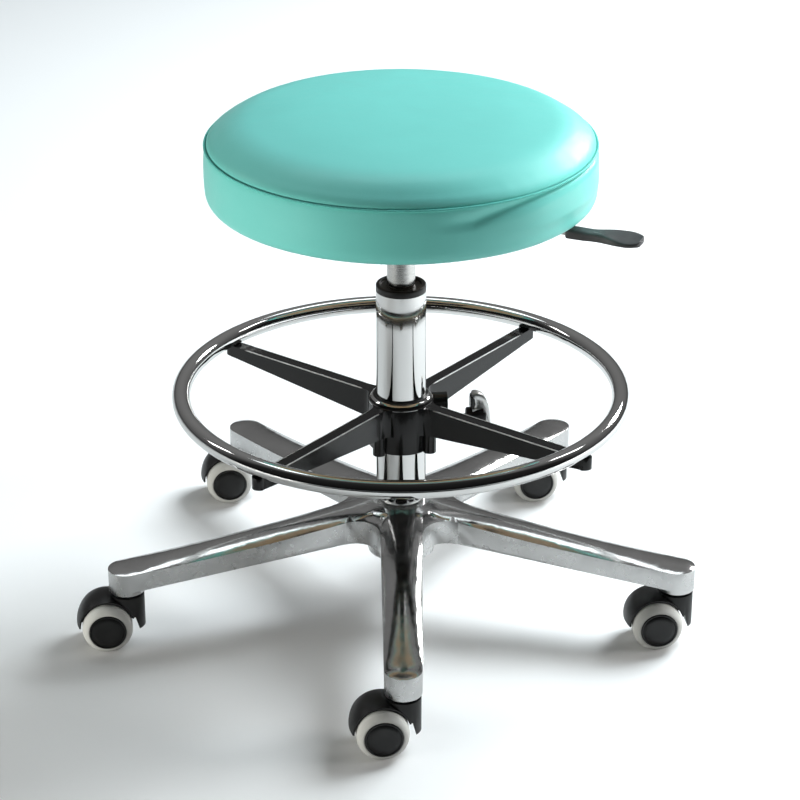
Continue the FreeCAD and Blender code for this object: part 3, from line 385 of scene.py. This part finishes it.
def black_plastic(name, value, low, high, grain, depth):
    """Moulded black plastic with its mould grain and rubbed, greyer patches."""
    made = Surface(name, (value, value, value * 1.03))
    worn = made.spread(made.noise(38, 5), 0.0, 0.6, 0.45, 0.75)
    made.paint(made.blend(worn, (value * 2.0, value * 2.0, value * 2.0)))
    made.gloss(made.spread(made.noise(90, 4), low, high))
    made.bump(made.noise(grain, 3), depth, 0.6)
    return made.material


def black_paint(name, value, low, high, peel):
    """Black paint with a little orange peel under its gloss."""
    made = Surface(name, (value, value, value))
    worn = (value * 1.8, value * 1.8, value * 1.7)
    made.paint(made.blend(made.spread(made.noise(50, 3), 0.0, 0.5), worn))
    made.gloss(made.spread(made.noise(70, 4), low, high))
    made.bump(made.noise(230, 2), peel, 0.5)
    made.set(Coat_Weight=0.2, Coat_Roughness=0.06, Specular_IOR_Level=0.35)
    return made.material


def painted_edge_highlight():
    """Painted highlight: a bright grey finish, mottled darker in patches, that stands in for the light the black
    paint's edges catch.
    """
    made = Surface("painted_edge_highlight", (0.72, 0.72, 0.71), 0.3)
    made.paint(made.blend(made.spread(made.noise(120, 4), 0.0, 0.6, 0.4, 0.7), (0.42, 0.42, 0.42)))
    made.gloss(made.spread(made.noise(200, 3), 0.28, 0.42))
    made.bump(made.noise(600, 2), 0.00004, 0.5)
    return made.material


def grey_tyre():
    """Soft light grey tread, a little dusty."""
    made = Surface("grey_tyre", (0.58, 0.58, 0.555))
    made.paint(made.blend(made.spread(made.noise(70, 4), 0.0, 0.6), (0.50, 0.50, 0.475)))
    made.gloss(made.spread(made.noise(120, 4), 0.36, 0.52))
    made.bump(made.noise(900, 2), 0.00005, 0.5)
    return made.material


def plywood():
    """Birch plywood with its long grain."""
    made = Surface("plywood", (0.62, 0.45, 0.28))
    grain = made.noise(14, 5, made.stretched((1, 18, 1)))
    made.paint(made.blend(made.spread(grain, 0.0, 1.0), (0.42, 0.28, 0.16)))
    made.gloss(made.spread(grain, 0.5, 0.7))
    made.bump(grain, 0.0003, 0.5)
    return made.material


MATERIALS = {
    "vinyl": vinyl(),
    "vinyl_thread": thread(),
    "foam": thread(),
    "chrome": chrome(),
    "satin_chrome": chrome("satin_chrome", 0.32, 0.40),
    "cast_aluminium": cast_aluminium(),
    "satin_steel": satin_steel(),
    "zinc_steel": zinc_steel(),
    "black_nylon": black_plastic("black_nylon", 0.008, 0.30, 0.44, 1100, 0.00005),
    "black_gloss_plastic": black_plastic("black_gloss_plastic", 0.012, 0.20, 0.32, 500, 0.00002),
    "black_gloss_paint": black_paint("black_gloss_paint", 0.004, 0.16, 0.26, 0.00006),
    # A bright finish that paints the highlight on the arms' black edges.
    "painted_edge_highlight": painted_edge_highlight(),
    # The paddle's plastic is painted greyer than the other black plastic: a painted reflection for the sheen on
    # its top.
    "lever_plastic_painted_reflection": black_plastic("lever_plastic_painted_reflection", 0.055, 0.34, 0.46, 500, 0.00002),
    "black_paint": black_paint("black_paint", 0.020, 0.38, 0.5, 0.0001),
    "black_rubber": black_plastic("black_rubber", 0.020, 0.6, 0.8, 700, 0.0001),
    "grey_tyre": grey_tyre(),
    "plywood": plywood(),
}


def dress_nodes():
    """Give every CAD node the finish of its slot, and round the sharp edges of some of them."""
    rounded = {"ring_spider": 0.9, "star_base": 2.4, "guide_sleeve": 0.6, "taper_socket": 0.8}
    for row in frame["record"]["subparts"]:
        node = NODES[row["node"]]
        node.data.materials.clear()
        node.data.materials.append(MATERIALS[row["material_slot"]])
        width = 0.7 if row["node"].endswith("_hood") else rounded.get(row["node"])
        if width:
            round_edges(node, width * MM)


def round_edges(thing, width, segments=3):
    """Join the mesh's doubled corners and bevel its sharp edges."""
    weld = thing.modifiers.new("weld", "WELD")
    weld.merge_threshold = 0.00002
    bevel = thing.modifiers.new("bevel", "BEVEL")
    bevel.width = width
    bevel.segments = segments
    bevel.limit_method = "ANGLE"
    bevel.angle_limit = math.radians(38)
    bevel.use_clamp_overlap = True
    bevel.harden_normals = True


# ---------------------------------------------------------------- mesh helpers

def smooth_line(points, count):
    """A smooth curve through the points, as evenly spaced points."""
    fine = []
    padded = [points[0], *points, points[-1]]
    for before, start, end, after in zip(padded, padded[1:], padded[2:], padded[3:]):
        for step in range(16):
            t = step / 16
            fine.append(tuple(
                0.5 * (2 * b + (c - a) * t
                       + (2 * a - 5 * b + 4 * c - d) * t * t
                       + (3 * b - a - 3 * c + d) * t ** 3)
                for a, b, c, d in zip(before, start, end, after)))
    fine.append(tuple(points[-1]))
    return even_points(fine, count)


def even_points(points, count):
    """So many points at even steps along a line of points."""
    lengths = [0.0]
    for first, second in zip(points, points[1:]):
        lengths.append(lengths[-1] + math.dist(first, second))
    made, index = [], 0
    for step in range(count):
        target = lengths[-1] * step / (count - 1)
        while index < len(points) - 2 and lengths[index + 1] < target:
            index += 1
        span = lengths[index + 1] - lengths[index] or 1
        share = (target - lengths[index]) / span
        made.append(tuple(a + (b - a) * share for a, b in zip(points[index], points[index + 1])))
    return made


def mesh_of(name, vertices, faces, material, smooth=True):
    """A mesh with one material and consistent outward faces."""
    mesh = bpy.data.meshes.new(name)
    mesh.from_pydata([tuple(each) for each in vertices], [], faces)
    shape = bmesh.new()
    shape.from_mesh(mesh)
    bmesh.ops.recalc_face_normals(shape, faces=shape.faces)
    shape.to_mesh(mesh)
    shape.free()
    mesh.materials.append(material)
    for face in mesh.polygons:
        face.use_smooth = smooth
    return mesh


def row_faces(first, following, count):
    """The four-sided faces between two closed rows of points, by the number of each row's first point."""
    faces = []
    for step in range(count):
        turn = (step + 1) % count
        faces.append((first + step, first + turn, following + turn, following + step))
    return faces


def lathe(name, profile, segments, material, closed=True, shift=None):
    """Turn a profile of (radius, height) points about Z.

    A closed profile joins its ends. An open one is capped where it starts or ends near the axis. The shift
    moves each point of (angle, radius, height).
    """
    vertices, faces = [], []
    for radius, height in profile:
        for step in range(segments):
            angle = 2 * math.pi * step / segments
            r, z = shift(angle, radius, height) if shift else (radius, height)
            vertices.append((r * math.cos(angle), r * math.sin(angle), z))
    count = len(profile)
    for row in range(count if closed else count - 1):
        faces += row_faces(row * segments, (row + 1) % count * segments, segments)
    if not closed:
        for row in (0, count - 1):
            if profile[row][0] < 4 * MM:
                faces.append(tuple(row * segments + step for step in range(segments)))
    return mesh_of(name, vertices, faces, material)


def tube_round(name, centre_radius, height, tube, segments, sides, material, ripple=0.0):
    """A thin ring about Z, with a slight ripple like a rolled edge."""
    vertices, faces = [], []
    for step in range(segments):
        angle = 2 * math.pi * step / segments
        for side in range(sides):
            turn = 2 * math.pi * side / sides
            thick = tube * (1 + ripple * math.sin(angle * 190 + turn))
            r = centre_radius + thick * math.cos(turn)
            vertices.append((r * math.cos(angle), r * math.sin(angle), height + thick * math.sin(turn)))
    for step in range(segments):
        faces += row_faces(step * sides, (step + 1) % segments * sides, sides)
    return mesh_of(name, vertices, faces, material)


def fall(distance, width):
    """A soft hump: 1 at no distance, falling to 0."""
    return math.exp(-(distance / width) ** 2)


# ---------------------------------------------------------------- the upholstered seat

TOP_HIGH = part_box("seat_cover_top")[1]
BAND_LOW, BAND_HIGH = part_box("seat_band")
SEAM_LOW, SEAM_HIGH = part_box("seat_piping")
SEAT_RADIUS = BAND_HIGH.x
SEAM = (SEAM_LOW.z + SEAM_HIGH.z) / 2
SEAT_BOTTOM, SEAT_CROWN = BAND_LOW.z, TOP_HIGH.z
TOP_SEGMENTS, BAND_SEGMENTS, SEAM_SEGMENTS = 480, 720, 760
PADDING_INSET, PADDING_VOXEL, PADDING_MOST = 2.5 * MM, 5.5 * MM, 1.6 * MM
PADDING_PRESSURE, PADDING_FRAMES = 4, 20
EVEN_ROUND, EVEN_ALONG, EVEN_PASSES = 20, 8, 3


def top_profile():
    """From the seam, over the steep soft shoulder, to the crown."""
    rise = SEAT_CROWN - SEAM
    rows = [
        (-5.0, -0.12), (-3.4, -0.06), (-2.9, 0.02), (-3.4, 0.12), (-6.6, 0.28), (-12, 0.44),
        (-19, 0.61), (-27, 0.755), (-37, 0.865), (-50, 0.925), (-75, 0.965), (-110, 0.985)]
    points = [(SEAT_RADIUS + r * MM, SEAM + share * rise) for r, share in rows]
    points.append((34 * MM, SEAT_CROWN - 0.1 * MM))
    points.append((2 * MM, SEAT_CROWN))
    return smooth_line(points, 84)


def band_profile():
    """From the seam, down the side wall, and round under the edge."""
    rows = [(-4.6, 0.6), (-2.6, 0.1), (-1.5, -1.6), (-0.6, -6), (0.2, -17), (0.2, -30)]
    points = [(SEAT_RADIUS + r * MM, SEAM + z * MM) for r, z in rows]
    rows = [(-0.2, 11), (-1.8, 4.6), (-5.5, 1.1), (-11, 0.1), (-19, 0.2)]
    points += [(SEAT_RADIUS + r * MM, SEAT_BOTTOM + z * MM) for r, z in rows]
    return smooth_line(points, 72)


def padded_body():
    """The stuffed seat before its seams, blown up tight by cloth simulation, as a tree of its surface."""
    inset = PADDING_INSET
    outline = [(r - inset if r > 0.02 else r, z - (inset if z > SEAM else -inset)) for r, z in
               [*reversed(top_profile()), *band_profile()]]
    outline.append((2 * MM, SEAT_BOTTOM + 2 * inset))
    mesh = lathe("padding", outline, 120, MATERIALS["vinyl"], closed=False)
    body = add_object("padding", mesh)
    remesh = body.modifiers.new("remesh", "REMESH")
    remesh.mode = "VOXEL"
    remesh.voxel_size = PADDING_VOXEL
    remesh.use_smooth_shade = True
    depsgraph = bpy.context.evaluated_depsgraph_get()
    even = bpy.data.meshes.new_from_object(body.evaluated_get(depsgraph))
    body.modifiers.clear()
    body.data = even
    held = body.vertex_groups.new(name="held")
    for vertex in even.vertices:
        radius = math.hypot(vertex.co.x, vertex.co.y)
        near_seam = abs(vertex.co.z - SEAM) < 4 * MM and radius > SEAT_RADIUS - 9 * MM
        if near_seam or vertex.co.z < SEAT_BOTTOM + 7 * MM:
            held.add([vertex.index], 1.0, "REPLACE")
    cloth = body.modifiers.new("cloth", "CLOTH")
    cloth.settings.vertex_group_mass = "held"
    cloth.settings.use_pressure = True
    cloth.settings.uniform_pressure_force = PADDING_PRESSURE
    cloth.settings.quality = 6
    cloth.settings.effector_weights.gravity = 0
    cloth.point_cache.frame_start, cloth.point_cache.frame_end = 1, PADDING_FRAMES
    for number in range(1, PADDING_FRAMES + 1):
        bpy.context.scene.frame_set(number)
    depsgraph = bpy.context.evaluated_depsgraph_get()
    blown = bpy.data.meshes.new_from_object(body.evaluated_get(depsgraph))
    body.modifiers.clear()
    body.data = blown
    bpy.context.scene.frame_set(1)
    points = [vertex.co.copy() for vertex in body.data.vertices]
    tree = BVHTree.FromPolygons(points, [tuple(face.vertices) for face in body.data.polygons])
    bpy.data.objects.remove(body)
    return tree


def running_mean(values, reach, joined):
    """Each value averaged with its neighbours on both sides, across the ends too where they are joined."""
    count, made = len(values), []
    for index in range(count):
        near = range(index - reach, index + reach + 1)
        if joined:
            made.append(sum(values[each % count] for each in near) / len(near))
        else:
            made.append(sum(values[min(count - 1, max(0, each))] for each in near) / len(near))
    return made


def follow_padding(mesh, tree, most, segments):
    """Move each point along its normal towards the padded body, no further than the most.

    The moves are averaged over their neighbours, so the body's voxels don't show as steps.
    """
    gaps, eases = [], []
    for vertex in mesh.vertices:
        near = tree.find_nearest(vertex.co)
        gaps.append(max(-most, min(most, (near[0] - vertex.co).dot(vertex.normal))))
        at_rim = math.hypot(vertex.co.x, vertex.co.y) > SEAT_RADIUS - 12 * MM
        away = abs(vertex.co.z - SEAM) if at_rim else 1
        eases.append(min(1, max(0, (away - 2 * MM) / (10 * MM))))
    rows = [gaps[start:start + segments] for start in range(0, len(gaps), segments)]
    for _ in range(EVEN_PASSES):
        rows = [running_mean(row, EVEN_ROUND, True) for row in rows]
        columns = [running_mean(column, EVEN_ALONG, False) for column in zip(*rows)]
        rows = list(zip(*columns))
    even = [gap for row in rows for gap in row]
    moves = [vertex.normal * (gap * ease) for vertex, gap, ease in zip(mesh.vertices, even, eases)]
    for vertex, move in zip(mesh.vertices, moves):
        vertex.co += move


def pulled_fold(angle, radius, height):
    """The side cover's one pulled fold, which leaves the seam at the right and runs down to the left."""
    start, end = math.radians(-22), math.radians(-70)
    share = (angle - (2 * math.pi if angle > math.pi else 0) - start) / (end - start)
    below = (SEAM - height) / MM
    r = radius
    if -0.6 < share < 1.35:
        along = min(1, max(0, share))
        crease = 1.3 + 13 * along ** 3.2
        ends = smooth_step((share + 0.45) / 0.4) * smooth_step((1.3 - share) / 0.35)
        side = below - crease
        width = 1.1 + 4.4 * along ** 2
        r -= (3.3 + 0.3 * along) * MM * ends * fall(side if side > 0 else side * 0.7, width)
        bulge = smooth_step((side + 1) / (7 + 9 * along))
        bulge *= smooth_step((42 - below) / 14)
        bulge *= smooth_step((1.05 - share) / 0.55)
        r += 2.6 * MM * ends * bulge
    wander = noise.noise(Vector((math.cos(angle) * 3.1, math.sin(angle) * 3.1, height * 26)))
    r += 0.45 * MM * wander * smooth_step(below / 10)
    pucker = noise.noise(Vector((math.cos(angle) * 17, math.sin(angle) * 17, 4)))
    r += 0.25 * MM * pucker * fall(below - 3, 4)
    return r, height


def smooth_step(value):
    """0 below 0, 1 above 1, and a soft rise between."""
    value = min(1, max(0, value))
    return value * value * (3 - 2 * value)


def soft_top(angle, radius, height):
    """The top cover: very slight hollows, and faint pulls that run in from the seam."""
    broad = noise.noise(Vector((radius * math.cos(angle) * 9, radius * math.sin(angle) * 9, 7)))
    z = height + 0.8 * MM * broad * min(1, max(0, (SEAT_RADIUS - 10 * MM - radius) / (40 * MM)))
    edge = (SEAT_RADIUS - radius) / MM
    pull = noise.noise(Vector((math.cos(angle) * 14, math.sin(angle) * 14, 11)))
    z += 0.3 * MM * pull * fall(edge - 8, 9)
    return radius, z


def make_seat():
    """The sewn cover: a padded top, a side band with its fold, and the rolled seam between them."""
    tree = padded_body()
    top = add_object("seat_top_cover", lathe(
        "seat_top_cover", top_profile(), TOP_SEGMENTS, MATERIALS["vinyl"], False, soft_top))
    follow_padding(top.data, tree, PADDING_MOST, TOP_SEGMENTS)
    band = add_object("seat_side_cover", lathe(
        "seat_side_cover", band_profile(), BAND_SEGMENTS, MATERIALS["vinyl"], False, pulled_fold))
    seam = add_object("seat_seam", tube_round(
        "seat_seam", SEAT_RADIUS - 1.35 * MM, SEAM + 0.1 * MM, 1.25 * MM, SEAM_SEGMENTS, 12,
        MATERIALS["vinyl_thread"], 0.05))
    for piece, nodes, slot in (
            (top, ("seat_cover_top", "seat_foam"), "vinyl"),
            (band, ("seat_band",), "vinyl"),
            (seam, ("seat_piping",), "vinyl_thread")):
        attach(piece, "seat")
        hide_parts(*nodes)


# ---------------------------------------------------------------- height lever

JOINTS = {joint["name"]: joint for joint in frame["joints"]}


def make_paddle():
    """The lever's moulded paddle: waisted, then wide and thin, with a round end and soft edges."""
    pivot = JOINTS["lever_lift"]["pos_m"]
    bearing = math.atan2(pivot[1], pivot[0])
    c_bearing, s_bearing = math.cos(bearing), math.sin(bearing)
    along = [v.co.x * c_bearing + v.co.y * s_bearing for v in NODES["lever_handle"].data.vertices]
    start, end = min(along), max(along)
    low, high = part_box("lever_handle")
    widths = smooth_line([
        (start + 0.2 * MM, 7.4 * MM), (start + 3 * MM, 8.3 * MM), (start + 14 * MM, 8.1 * MM),
        (start + 29 * MM, 7.6 * MM), (start + 41 * MM, 10.2 * MM), (start + 52 * MM, 13.4 * MM),
        (end - 13 * MM, 14.4 * MM),
        (end - 6.5 * MM, 12.3 * MM), (end - 2.2 * MM, 8.4 * MM), (end - 0.1 * MM, 1.6 * MM)], 80)
    sides = 28
    vertices, faces = [], []
    for row, (x, half) in enumerate(widths):
        share = max(0, (x - start - 18 * MM) / (end - start - 18 * MM))
        droop = 3.4 * MM * max(0, share - 0.25) ** 1.6
        floor, roof = low.z + 2.6 * MM * share, high.z + 2.2 * MM * smooth_step(share / 0.55) - droop
        rim = min(1, (x - start) / (2 * MM) + 0.55, (end - x) / (2.5 * MM) + 0.25)
        middle, thick = (roof + floor) / 2, (roof - floor) / 2 * rim
        for side in range(sides):
            turn = 2 * math.pi * (side + 0.5) / sides
            c, s = math.cos(turn), math.sin(turn)
            y = half * math.copysign(abs(c) ** 0.42, c)
            z = thick * math.copysign(abs(s) ** 0.42, s)
            if s > 0:
                z -= 0.7 * MM * fall(y, half * 0.6) * min(1, share * 2.2)
                z -= 0.10 * (half - y) * min(1, share * 1.6)
            vertices.append((x * c_bearing - y * s_bearing, x * s_bearing + y * c_bearing, middle + z))
    for row in range(len(widths) - 1):
        faces += row_faces(row * sides, (row + 1) * sides, sides)
    faces += [tuple(range(sides)), tuple((len(widths) - 1) * sides + side for side in range(sides))]
    mesh = mesh_of("lever_paddle", vertices, faces, MATERIALS["lever_plastic_painted_reflection"])
    paddle = add_object("lever_paddle", mesh)
    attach(paddle, "height_lever")
    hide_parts("lever_handle")


# ---------------------------------------------------------------- foot ring hub and its clamp

SPIDER_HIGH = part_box("ring_spider")[1]


def make_collar():
    """A polished ring let into the hub's top, round the plastic liner."""
    low, top = SPIDER_HIGH.z - 4.2 * MM, SPIDER_HIGH.z
    start = (28.0, low + 1 * MM)
    profile = [
        start, (28.0, top + 0.2 * MM), (28.25, top + 0.5 * MM), (28.8, top + 0.45 * MM),
        (29.6, top - 0.1 * MM), (30.8, top - 1.2 * MM), (32.0, top - 2.7 * MM), (32.9, top - 4.0 * MM),
        (33.25, top - 4.8 * MM), (33.2, top - 5.2 * MM), (32.0, low - 0.6 * MM), (30.0, low + 0.2 * MM), start]
    outline = even_points([(r * MM, z) for r, z in profile], 60)[:-1]
    ring = add_object("hub_collar", lathe("hub_collar", outline, 180, MATERIALS["chrome"]))
    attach(ring, "foot_rest")


def clamp_bearing():
    """The direction from the column to the clamp."""
    low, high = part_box("clamp_lever")
    return math.atan2(low.y + high.y, low.x + high.x)


def make_arm_edge_highlights():
    """Painted highlights: thin bright beads along the top edges of each arm."""
    points = [v.co for v in NODES["ring_spider"].data.vertices]
    arm_top = max(point.z for point in points if math.hypot(point.x, point.y) > 80 * MM)
    vertices, faces, sides, steps = [], [], 8, 40
    for arm in range(4):
        bearing = clamp_bearing() + math.pi / 4 + arm * math.pi / 2
        ahead = Vector((math.cos(bearing), math.sin(bearing), 0))
        across = Vector((-ahead.y, ahead.x, 0))
        for hand in (-1, 1):
            first = len(vertices)
            for step in range(steps + 1):
                thick = 0.62 * MM * min(1, 0.25 + step / 4, 0.25 + (steps - step) / 4)
                thick *= 1 + 0.25 * noise.noise(Vector((step * 0.9, arm, hand)))
                middle = ahead * ((40 + 164 * step / steps) * MM) + across * (hand * 6.2 * MM)
                middle.z = arm_top - 0.3 * MM
                for side in range(sides):
                    turn = 2 * math.pi * side / sides
                    rise = Vector((0, 0, thick * math.sin(turn)))
                    vertices.append(middle + across * (thick * math.cos(turn)) + rise)
            for step in range(steps):
                faces += row_faces(first + step * sides, first + (step + 1) * sides, sides)
            last = first + steps * sides
            faces += [tuple(range(first, first + sides)), tuple(range(last, last + sides))]
    # The beads are painted highlight along the arms' edges.
    edges = add_object("arm_edge_highlights", mesh_of("arm_edge_highlights", vertices, faces, MATERIALS["painted_edge_highlight"]))
    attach(edges, "foot_rest")


def slab(name, outline, half, edge, material, swell=0.0):
    """A plate of a side outline, as thick as twice half, with rounded edges and faces that may swell."""
    centre = (sum(x for x, z in outline) / len(outline), sum(z for x, z in outline) / len(outline))
    turns = (0, 0.4, 0.8, 1.2, math.pi / 2)
    steps = [(-half + edge * (1 - math.cos(a)), edge * (1 - math.sin(a))) for a in turns]
    steps = steps + [(-y, inset) for y, inset in reversed(steps)]
    vertices, faces, count = [], [], len(outline)
    for y, inset in steps:
        for index, (x, z) in enumerate(outline):
            ahead, behind = outline[(index + 1) % count], outline[index - 1]
            tangent = Vector((ahead[0] - behind[0], ahead[1] - behind[1])).normalized()
            inward = Vector((-tangent.y, tangent.x))
            if inward.dot(Vector((centre[0] - x, centre[1] - z))) < 0:
                inward = -inward
            vertices.append((x + inward.x * inset, y, z + inward.y * inset))
    for row in range(len(steps) - 1):
        faces += row_faces(row * count, (row + 1) * count, count)
    for row, sign in ((0, -1), (len(steps) - 1, 1)):
        hub = len(vertices)
        vertices.append((centre[0], sign * (half + swell), centre[1]))
        faces += [(row * count + index, row * count + (index + 1) % count, hub) for index in range(count)]
    return mesh_of(name, vertices, faces, material)


def flute(angle, radius, along):
    """The knob's flutes, which run along its middle part only."""
    if 68 * MM < along < 84 * MM:
        radius -= 0.45 * MM * abs(math.sin(angle * 12))
    return radius, along


def make_clamp():
    """The clamp: a slim screw with a fluted black knob, and a curved silver lever with a black insert.

    The outlines are in millimetres: out from the column's axis, and up from the screw's axis.
    """
    turn = Matrix.Rotation(clamp_bearing(), 4, "Z")
    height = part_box("clamp_bolt")[0].z + 8.5 * MM
    shell_points = [
        (87.2, -7.9), (90.7, -7.9), (90.9, -3), (90.3, 4), (88.6, 12), (85.8, 19), (82, 23.6), (77.5, 25.9),
        (73.4, 26.0), (71.5, 24.6), (70.9, 19), (70.5, 9.2), (72, 8.6), (80, 8.7), (85.6, 8.2), (87, 4),
        (87.2, -4), (87.2, -7.9)]
    insert_points = [
        (69.9, 8.9), (74.2, 8.9), (75.4, 14), (74.6, 20), (71.6, 22.4), (70.2, 21.5), (69.9, 8.9)]
    screw_points = [
        (2.0, 27.5), (2.0, 65.8), (2.2, 66.0), (6.9, 66.1), (7.9, 66.7), (8.45, 67.8), (8.45, 83.6),
        (8.1, 84.8), (7.4, 85.6), (5.6, 85.9), (5.2, 85.2), (1.0, 85.1)]
    shell_outline = smooth_line([(x * MM, height + z * MM) for x, z in shell_points], 90)[:-1]
    insert_outline = even_points([(x * MM, height + z * MM) for x, z in insert_points], 48)[:-1]
    shell = slab(
        "clamp_lever_shell", shell_outline, 6 * MM, 2.6 * MM, MATERIALS["satin_chrome"], 0.5 * MM)
    insert = slab(
        "clamp_lever_insert", insert_outline, 6.35 * MM, 1.2 * MM, MATERIALS["black_gloss_plastic"])
    screw = lathe(
        "clamp_screw", [(r * MM, x * MM) for r, x in screw_points], 144, MATERIALS["black_nylon"], False, flute)
    screw.transform(Matrix.Translation((0, 0, height)) @ Matrix.Rotation(math.pi / 2, 4, "Y"))
    for mesh, node, slot in (
            (shell, "clamp_lever", "chrome"),
            (insert, "", "black_gloss_plastic"),
            (screw, "clamp_bolt", "black_nylon")):
        mesh.transform(turn)
        piece = add_object(mesh.name, mesh)
        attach(piece, "ring_clamp")
        if node:
            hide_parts(node)


# ---------------------------------------------------------------- casters

def make_wheels():
    """The casters' wheel cores: a closed disc with a rim, a shallow groove and a slightly domed middle."""
    for index in range(1, 6):
        for side in ("left", "right"):
            body = f"caster_{index}_{side}"
            joint = JOINTS[body + "_spin"]
            centre, axis = Vector(joint["pos_m"]), Vector(joint["axis"])
            points = [(v.co - centre) for v in NODES[body + "_wheel"].data.vertices]
            outward = axis if sum(p.dot(axis) for p in points) > 0 else -axis
            face = max(p.dot(outward) for p in points)
            inner = min(p.dot(outward) for p in points)
            radius = max((p - outward * p.dot(outward)).length for p in points)
            rim = radius / MM
            rows = [
                (4.3, inner + 0.2 * MM), (8, inner + 0.2 * MM), (8.6, inner + 4 * MM),
                (rim - 0.4, inner + 1 * MM), (rim, inner + 1.6 * MM), (rim, face - 1.6 * MM),
                (rim - 0.25, face - 0.5 * MM), (rim - 0.9, face - 0.05 * MM), (rim - 1.7, face - 0.15 * MM),
                (rim - 2.0, face - 0.9 * MM), (rim - 2.5, face - 0.9 * MM), (rim - 2.8, face - 0.3 * MM),
                (11, face + 0.05 * MM), (5, face + 0.15 * MM), (2, face + 0.2 * MM)]
            outline = [(r * MM, z) for r, z in rows]
            mesh = lathe(body + "_core", outline, 96, MATERIALS["black_nylon"], False)
            facing = outward.to_track_quat("Z", "Y").to_matrix().to_4x4()
            mesh.transform(Matrix.Translation(centre) @ facing)
            core = add_object(body + "_core", mesh)
            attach(core, body)
            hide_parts(body + "_wheel")


add_camera()
add_world()
add_floor()
add_lights()
dress_nodes()
make_seat()
make_paddle()
make_collar()
make_arm_edge_highlights()
make_clamp()
make_wheels()
bpy.context.scene.view_settings.view_transform = "Standard"
